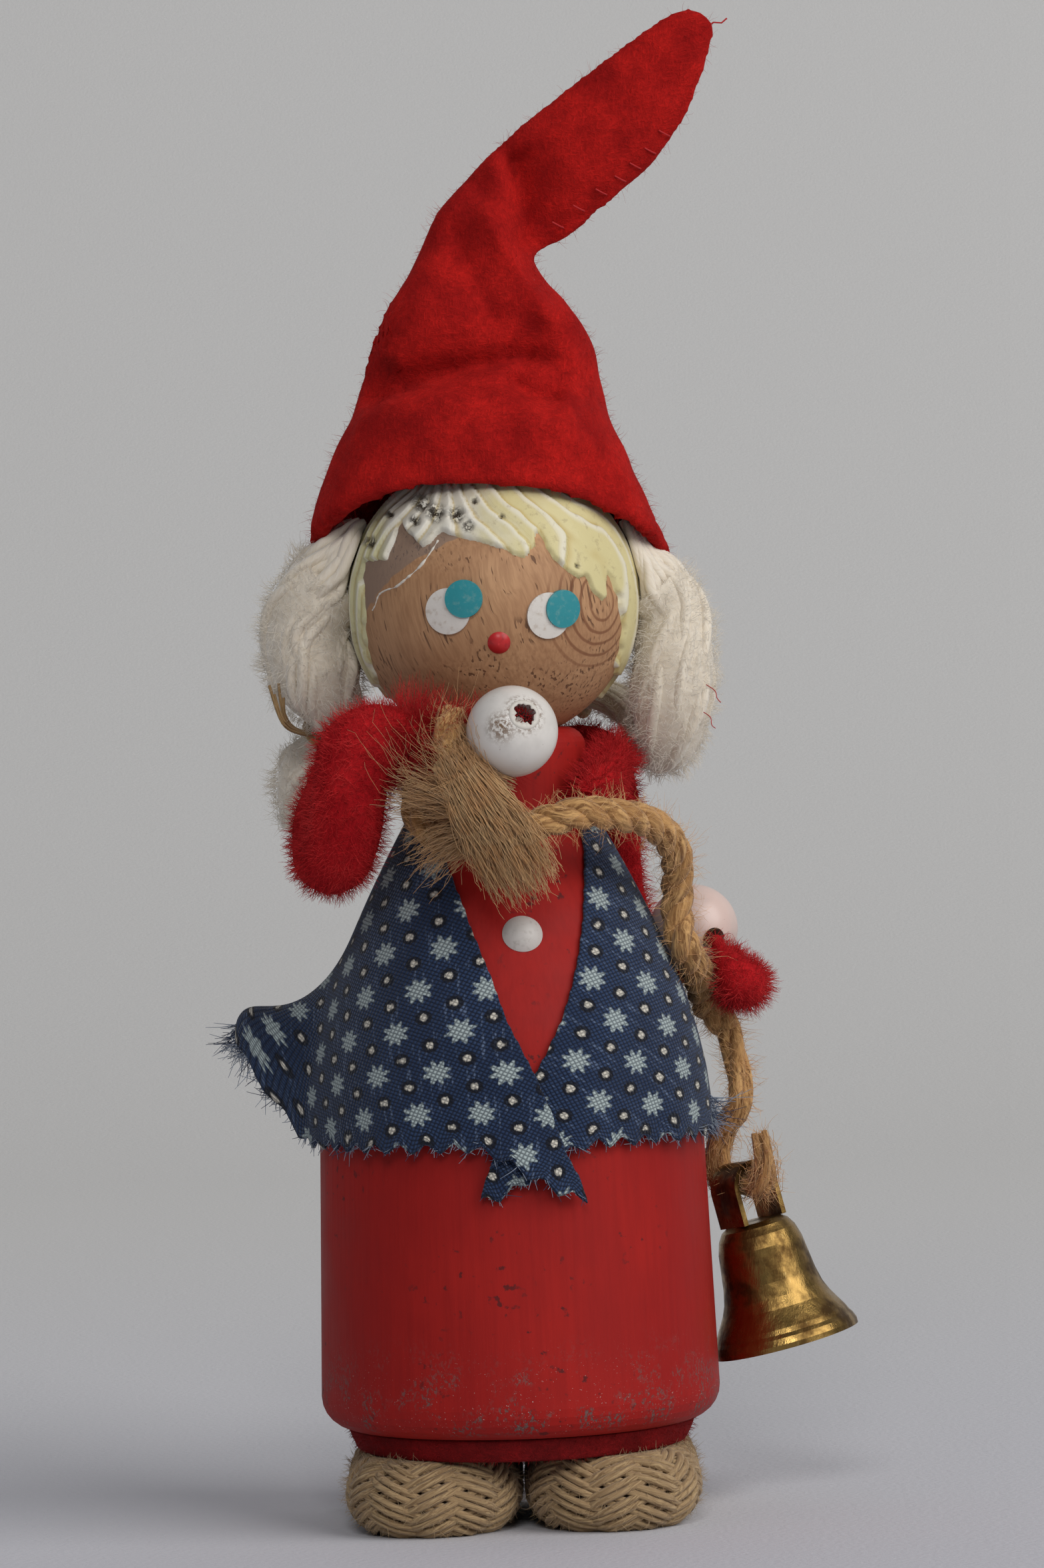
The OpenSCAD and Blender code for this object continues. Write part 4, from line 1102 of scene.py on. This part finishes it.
for name, lump_r, points, *growth in (
    ("shoulder", 2.1 * mm, shoulder_points, 49, 13, 2.1),
    ("elbow", 1.7 * mm, elbow_points, 50, 14, 2.2),
):
    lump_line = smooth_line(in_metres(points), 4)
    lump = tubes(name + "_lump", [lump_line], [[lump_r] * len(lump_line)], 10)
    shown(name + "_lump", lump, chenille, "chenille_red")
    fuzz(name + "_pile", "chenille_red", lump, pile, *growth, 0.036, 0.8, 1.1, 3)
wire, shader, place, _ = finish("core wire", 0.4, metallic=1.0)
laid_on(shader, tint(grain(place, 900), rgb(120, 112, 104), rgb(160, 154, 148)))
cover(wire, "arm_wire")

# Hands: drilled wooden beads in white gloss. The paint has chipped round the
# bores down to brown wood, and pile of the stem shows inside them.
bead_r, rim_sides = 4.9 * mm, 72
chip_paint = plain("bead paint edge", 0.5, rgb(206, 200, 190))
bead_marks, given = effect(
    "bead marks",
    {
        **dict.fromkeys(("Place", "Soiled Place", "Bore"), "Vector"),
        **dict.fromkeys(("Clean", "Soiled"), "Color"),
    },
    {"Colour": "Color", "Smears": "Float"},
)
smears = grain(given["Place"], 260, 3.0, 0.6)
specks = grain(given["Place"], 2400, 3.0, 0.7)
to_dirt = vectors("DISTANCE", given["Place"], given["Soiled Place"])
to_bore = vectors("DISTANCE", given["Place"], given["Bore"])
white = tint(between(smears, 0.45, 0.7, 0, 0.3), given["Clean"], rgb(178, 173, 166))
dirt = calc(
    "MAXIMUM",
    times(between(to_dirt, 0.3 * mm, 2.4 * mm, 1, 0), between(specks, 0.4, 0.56)),
    times(between(to_bore, 1.5 * mm, 2.9 * mm, 0.9, 0), between(specks, 0.44, 0.6)),
)
white = tint(dirt, white, given["Soiled"])
white = tint(between(specks, 0.68, 0.74, 0, 0.6), white, rgb(120, 96, 80))
put("NodeGroupOutput", {"Colour": white, "Smears": smears})
for node, clean, soiled, middle, way, spot in (
    ("hand_right", rgb(220, 215, 208), rgb(116, 90, 66),
     (1.63, -20.29, 86.57), (0.28, -0.88, 0.38), (752, 1092)),
    ("hand_left", rgb(214, 188, 178), rgb(170, 130, 118),
     (20.92, 8.55, 63.74), (-0.43, 0.87, 0.24), None),
):
    middle, way = Vector(middle) * mm, Vector(way).normalized()
    bore_end = middle + bead_r * way
    dirty_place = on_ball(*spot, middle, bead_r) if spot else bore_end
    bead_paint, shader, place, _ = finish(node + " paint", 0.4, coat=0.35)
    shader.inputs["Coat Roughness"].default_value = 0.25
    sockets = {"Place": place, "Soiled Place": tuple(dirty_place), "Bore": tuple(bore_end)}
    sockets |= {"Clean": clean, "Soiled": soiled}
    marks = put("ShaderNodeGroup", sockets, node_tree=bead_marks).outputs
    laid_on(shader, marks["Colour"])
    relief(shader, marks["Smears"], 0.05 * mm)
    cover(bead_paint, node)
    side = way.cross(Vector((0, 0, 1))).normalized()
    up = side.cross(way)
    shape = bmesh.new()
    rings = []
    for level, (r, raise_by, rough) in enumerate(
        ((1.85, -0.05, 0.1), (1.6, 0.07, 0.12), (1.3, 0.05, 0.42), (1.3, -0.1, 0.42))
    ):
        ring = []
        for i in range(rim_sides):
            a = math.tau * i / rim_sides
            round_way = math.cos(a) * side + math.sin(a) * up
            jag = noise.noise(Vector((math.cos(a) * 3.1, math.sin(a) * 3.1, bead_r * 900)))
            out = (r - rough * (0.35 + jag * (1 if level > 1 else 0.3))) * mm
            high = math.sqrt(bead_r**2 - out**2) + raise_by * mm
            ring.append(shape.verts.new(middle + high * way + out * round_way))
        rings.append(ring)
    for a, b in zip(rings, rings[1:]):
        for i in range(rim_sides):
            beside = (i + 1) % rim_sides
            shape.faces.new((a[i], a[beside], b[beside], b[i]))
    bmesh.ops.recalc_face_normals(shape, faces=shape.faces)
    rim = evaluated(baked(shape, node + "_rim"), ("SOLIDIFY", {"thickness": 0.06 * mm}))
    shown(node + "_rim", rim, chip_paint, "bead_white")
    shape = bmesh.new()
    in_bore = Matrix.Translation(middle + 0.6 * bead_r * way)
    bmesh.ops.create_icosphere(shape, subdivisions=3, radius=1.15 * mm, matrix=in_bore)
    plug = baked(shape, node + "_pile_ground")
    fuzz(node + "_pile", "chenille_red", plug, pile, 53, 16, 1.1, 0.05, 0.7, 0.6)

# Shawl: one sheet of cotton cut with pinking shears, printed with stars and
# dots, wrapped round the dome with its right front over its left one. Its
# back corner stands off behind the right arm and its raw edges have frayed.
cloth_t = 0.36 * mm
shawl_gap = 0.3 * mm
shawl_top, shawl_hem = 79.2 * mm, 42.3 * mm
front_drop = 5.7 * mm
front_point_turn = 30
right_edge_turns = [-62, -36, -21, -12, -5, 0, 6, 11, 15, 20]
left_edge_turns = [62, 50, 39, 31, 24, 17, 9, 1, -5, -9]
flap_turn, flap_half_turn = -104, 26
flap_out, flap_lift = 8.6 * mm, 1.38
shawl_rows, shawl_cols = 84, 430
tooth, tooth_depth = 3.0 * mm, 1.15 * mm
cone_share, back_share = 0.3, -0.025
front_turn = 100
mid_slant = 55 * mm


def body_r(z):
    """The turned body's radius at a height."""
    if z < 48.3 * mm:
        return (21.9 - (z / mm - 10.7) / 37.6) * mm
    share = (z / mm - 48.3) / 29.26
    return max(20.9 - 11.49 * min(share, 1) ** 1.46, 9.6) * mm


def row_value(values, share):
    return smooth_line(values, 12)[round(share * 12 * (len(values) - 1))]


def hump(share):
    return 0.0 if abs(share) >= 1 else math.cos(math.pi / 2 * share) ** 2


def shawl_place(s, t):
    right = row_value(right_edge_turns, t)
    left = row_value(left_edge_turns, t)
    turn = right + s * (left - 360 - right)
    edge = min(s, 1 - s) * 360
    flap = hump((turn - flap_turn) / flap_half_turn) ** 1.2 * eased(1.6 * t - 0.6)
    lifted = flap * eased(1.6 * t - 0.6) * flap_lift * flap_out
    point = eased(1 - edge / front_point_turn)
    over = eased(1 - s * 360 / front_point_turn / 2) * eased(3 * t - 1.2)
    hem = abs((turn / 360 * math.tau * 21.5 * mm / tooth) % 1 - 0.5) * 4 - 1
    z = shawl_top + t * (shawl_hem - front_drop * point - shawl_top)
    z += hem * tooth_depth / 2 * eased((t - 0.93) / 0.07)
    z += lifted
    wave = 0.35 * mm * t * t * (1 + math.sin(math.radians(turn) * 7)) * (1 - point)
    r = body_r(z - lifted) + shawl_gap
    r += over * (cloth_t + 0.5 * mm) + wave + flap * flap_out
    lift = 0.5 * mm * eased((t - 0.75) / 0.25) * (1 + noise.noise(Vector((turn * 0.07, t * 2, 3))))
    turn = math.radians(turn)
    down = t * (1 + front_drop * point / (shawl_top - shawl_hem))
    return Vector(((r + lift) * math.sin(turn), -(r + lift) * math.cos(turn), z)), turn, down


shape = bmesh.new()
cut_place = shape.loops.layers.uv.new("UVMap")
grid, flat = [], {}
for i in range(shawl_cols + 1):
    column = []
    for k in range(shawl_rows + 1):
        place, turn, down = shawl_place(i / shawl_cols, k / shawl_rows)
        v = shape.verts.new(place)
        column.append(v)
        flat[v] = (turn, down)
    grid.append(column)
for a, b in zip(grid, grid[1:]):
    for k in range(shawl_rows):
        shape.faces.new((a[k], a[k + 1], b[k + 1], b[k]))


def cut_turn(turn):
    """How far the cut cloth turns, flat, between the front and a body turn."""
    front, back = math.radians(front_turn), math.radians(360 - front_turn)
    if -turn < front:
        return turn * cone_share
    if -turn < back:
        return -front * cone_share + (turn + front) * back_share
    return -front * cone_share - (back - front) * back_share + (turn + back) * cone_share


apex_steps = 720
apexes = [Vector((0, 0))]
for i in range(apex_steps):
    turn = -math.tau * 1.2 * i / apex_steps
    here = cut_turn(turn)
    rate = (cut_turn(turn - 0.001) - here) / -0.001
    ahead = Vector((math.cos(here), math.sin(here)))
    step = math.tau * 1.2 / apex_steps
    apexes.append(apexes[-1] - ahead * step * (cone_share - rate) * mid_slant)
cut_places = {}
for v, (turn, t) in flat.items():
    share = min(max(-turn / (math.tau * 1.2), 0), 1) * apex_steps
    apex = apexes[min(int(share), apex_steps)]
    angle = cut_turn(turn)
    slant = 31.4 * mm + t * 42 * mm
    cut_places[v] = apex + slant * Vector((math.sin(angle), -math.cos(angle)))
for face in shape.faces:
    for loop in face.loops:
        loop[cut_place].uv = cut_places[loop.vert]
bmesh.ops.recalc_face_normals(shape, faces=shape.faces)
shape.normal_update()
if sum(f.normal.dot(f.calc_center_median().xy.to_3d()) for f in shape.faces) < 0:
    bmesh.ops.reverse_faces(shape, faces=shape.faces)
cloth_area = sum(f.calc_area() for f in shape.faces)

cotton, shader, place, printed = finish("cotton print", 0.9, sheen=0.12, specular=0.2)
thread = 0.42 * mm
column_gap, star_gap, dot_out = 6.1 * mm, 5.4 * mm, 4.07 * mm
star_r, star_waist, dot_r = 1.5 * mm, 0.58, 0.42 * mm
row_turn = math.radians(28.5)
parts = parts_of(stretched(printed, (1, 1, 1), (0, 0, row_turn)))


def lattice(parts, across, along):
    """Flat offsets from the nearest place of the print's repeat."""
    x = calc("WRAP", calc("SUBTRACT", parts[0], across), column_gap, -column_gap)
    y = calc("WRAP", calc("SUBTRACT", parts[1], along), star_gap / 2, -star_gap / 2)
    return x, y


def length_of(x, y):
    return calc("SQRT", calc("ADD", times(x, x), times(y, y)), 0)


wave_x = calc("SINE", times(parts[0], math.tau / thread / 2), 0)
wave_y = calc("SINE", times(parts[1], math.tau / thread / 2), 0)
over_weft = calc("GREATER_THAN", times(wave_x, wave_y), 0)
crown_x = calc("ABSOLUTE", wave_x, 0)
crown_y = calc("ABSOLUTE", wave_y, 0)
weft = times(crown_x, calc("SQRT", crown_y, 0))
warp = times(crown_y, calc("SQRT", crown_x, 0))
weave = put("ShaderNodeMix", {0: over_weft, 2: weft, 3: warp}, data_type="FLOAT").outputs[0]
slubs = grain(stretched(printed, (1, 0.1, 1)), 2400, 2.0)
cloudy = grain(place, 160, 3.0)
# The cloth is darker in the gaps between threads and lighter on their crowns: painted shade and
# painted highlight of the weave
print_and_weave_shading = tint(weave, rgb(10, 17, 34), rgb(46, 66, 100))
print_and_weave_shading = tint(between(cloudy, 0.35, 0.7, 0, 0.4), print_and_weave_shading, rgb(20, 31, 55))
worn = times(between(slubs, 0.56, 0.7), weave)
print_and_weave_shading = tint(times(worn, 0.5), print_and_weave_shading, rgb(124, 142, 172))
for shift in (0, 1):
    x, y = lattice(parts, shift * column_gap, shift * star_gap / 2)
    out = length_of(x, y)
    angle = calc("ARCTAN2", y, x)
    points = calc("COSINE", times(angle, 8.0), 0)
    wavy, middling = star_r * (1 - star_waist) / 2, star_r * (1 + star_waist) / 2
    inner = calc("SUBTRACT", out, calc("MULTIPLY_ADD", points, wavy, middling))
    ragged = calc("MULTIPLY_ADD", calc("SUBTRACT", slubs, 0.5), 0.9 * mm, inner)
    star = between(ragged, -0.2 * mm, 0.2 * mm, 1, 0)
    # The star fades into the gaps between threads: painted shade
    star = times(star, calc("MULTIPLY_ADD", weave, 0.7, 0.28))
    print_and_weave_shading = tint(star, print_and_weave_shading, rgb(180, 193, 191))
    for side in (-1, 1):
        x, y = lattice(parts, shift * column_gap + side * dot_out, shift * star_gap / 2)
        out = length_of(x, y)
        ring = between(out, dot_r + 0.35 * mm, dot_r + 0.55 * mm, 0.85, 0)
        print_and_weave_shading = tint(ring, print_and_weave_shading, rgb(16, 16, 22))
        ragged = calc("MULTIPLY_ADD", calc("SUBTRACT", slubs, 0.5), 0.8 * mm, out)
        spot = between(ragged, dot_r - 0.14 * mm, dot_r + 0.08 * mm, 1, 0)
        # The dot fades into the gaps between threads: painted shade
        spot = times(spot, calc("MULTIPLY_ADD", weave, 0.5, 0.5))
        print_and_weave_shading = tint(spot, print_and_weave_shading, rgb(214, 208, 194))
laid_on(shader, print_and_weave_shading)
relief(shader, weave, 0.12 * mm)
shawl_mesh = evaluated(
    baked(shape, "shawl_cloth"),
    ("SOLIDIFY", {"thickness": cloth_t, "offset": 1.0}),
)
shawl_cloth = shown("shawl_cloth", shawl_mesh, cotton, "cotton_print", "shawl")

# Frayed edge: threads of the cloth that stick out of its hem and corners, most
# of all at the back corner and beside the bell
pale_thread = fibre_finish("pale threads", (120, 136, 160), (160, 174, 196), (190, 200, 214))
navy_thread = fibre_finish("navy threads", (24, 34, 60), (38, 54, 88), (66, 84, 122))
hem_steps = 700
hem_line = [shawl_place(i / hem_steps, 1.0) for i in range(hem_steps + 1)]
flare_turn, flare_half_turn = -276, 11
for name, count, seed, made in (
    ("fray_pale", 2300, 61, pale_thread),
    ("fray_navy", 1700, 67, navy_thread),
):
    chance = random.Random(seed)
    lines, radii = [], []
    for _ in range(count):
        i = chance.randint(1, hem_steps - 1)
        place, turn, _ = hem_line[i]
        at_flap = hump((math.degrees(turn) - flap_turn) / (0.8 * flap_half_turn))
        at_flare = hump((math.degrees(turn) - flare_turn) / flare_half_turn)
        loose = max(at_flap, at_flare)
        if chance.random() > 0.35 + loose:
            continue
        along = (hem_line[i + 1][0] - hem_line[i - 1][0]).normalized()
        out = Vector((math.sin(turn), -math.cos(turn), 0))
        down = chance.uniform(0.3, 1) * (1 - 0.6 * at_flare)
        way = along * chance.gauss(0, 0.7 - 0.3 * loose)
        way += out * chance.uniform(0.0, 0.5 + 1.2 * loose)
        way = (way - Vector((0, 0, down))).normalized()
        long = chance.uniform(0.5, 1.4 + 2.0 * loose) * mm
        high = chance.uniform(0, 3.5) * mm * at_flare
        root = place + out * (cloth_t / 2 + 0.06 * high) - way * 0.4 * mm
        root += Vector((0, 0, 0.2 * mm + high))
        bend = Vector([chance.gauss(0, 0.35) * long for _ in "xyz"])
        lines.append([root + way * long * k / 3 + bend * (k / 3) ** 2 for k in range(4)])
        radii.append([0.06 * mm * (1 - 0.2 * k) for k in range(4)])
    shown(name, tubes(name, lines, radii, 4, False), made, "cotton_print")

# Bell: pressed brass, dulled and dented, on a strip loop; its staple and
# clapper are brass as well
brass, shader, place, _ = finish("brass", 0.34, metallic=1.0)
tarnish = grain(place, 260, 5.0, 0.6)
scratches = grain(stretched(place, (1, 1, 0.2)), 1800, 4.0, 0.7)
metal = tint(between(tarnish, 0.42, 0.62), rgb(148, 119, 68), rgb(84, 62, 34))
metal = tint(between(scratches, 0.6, 0.72, 0, 0.35), metal, rgb(190, 166, 110))
laid_on(shader, metal)
laid_on(shader, between(tarnish, 0.35, 0.7, 0.24, 0.5), "Roughness")
relief(shader, calc("ADD", grain(place, 190, 2.0), times(scratches, 0.15)), 0.35 * mm)
cover(brass, "bell_shell", "bell_loop", "clapper_hook", "clapper")

# Floor: a roll of pale grey paper that sweeps up behind the doll. Its colour goes warmer towards
# the back, and lighter there as painted light where the lamps reach it less.
paper_front, paper_back, paper_side, paper_top = -3.0, 0.5, 3.0, 3.0
sweep_r, sweep_steps = 0.9, 24
paper, shader, place, _ = finish("paper", 0.85, specular=0.15)
# Lighter and warmer towards the back: the lightening is painted light
painted_light_back = between(parts_of(place)[1], -0.1, 0.5)
laid_on(shader, tint(painted_light_back, rgb(200, 200, 206), rgb(213, 212, 210)))
relief(shader, grain(place, 1300, 2.0), 0.1 * mm)
shape = bmesh.new()
profile = [(paper_front, 0.0), (paper_back, 0.0)]
for i in range(1, sweep_steps + 1):
    a = math.pi / 2 * i / sweep_steps
    profile.append((paper_back + sweep_r * math.sin(a), sweep_r - sweep_r * math.cos(a)))
profile.append((paper_back + sweep_r, paper_top))
sides = (-paper_side, paper_side)
rows = [[shape.verts.new((x, y, z)) for y, z in profile] for x in sides]
for i in range(len(profile) - 1):
    shape.faces.new((rows[0][i], rows[1][i], rows[1][i + 1], rows[0][i + 1]))
shown("floor", baked(shape, "floor"), paper, body=None)

# Light: a large soft window to the doll's left and a smaller one behind the
# camera, which drops its soft shadow to the back; little from the rest of the room
for name, power, size, place, warmth in (
    ("window", 98, 3.0, (2.5, -1.9, 2.1), (1.0, 0.985, 0.965)),
    ("front window", 12.5, 0.6, (-0.1, -1.9, 1.3), (1.0, 0.99, 0.98)),
):
    pane = bpy.data.lights.new(name, "AREA")
    pane.energy, pane.size, pane.color = power, size, warmth
    lamp = bpy.data.objects.new(name, pane)
    bpy.context.scene.collection.objects.link(lamp)
    lamp.location = place
    aim = Vector((0, 0, 0.08)) - lamp.location
    lamp.rotation_euler = aim.to_track_quat("-Z", "Y").to_euler()
room = bpy.data.worlds.new("room")
room.use_nodes = True
bpy.context.scene.world = room
backdrop = room.node_tree.nodes["Background"]
backdrop.inputs["Color"].default_value = rgb(182, 187, 198)
backdrop.inputs["Strength"].default_value = 0.3
bpy.context.scene.view_settings.view_transform = "Standard"
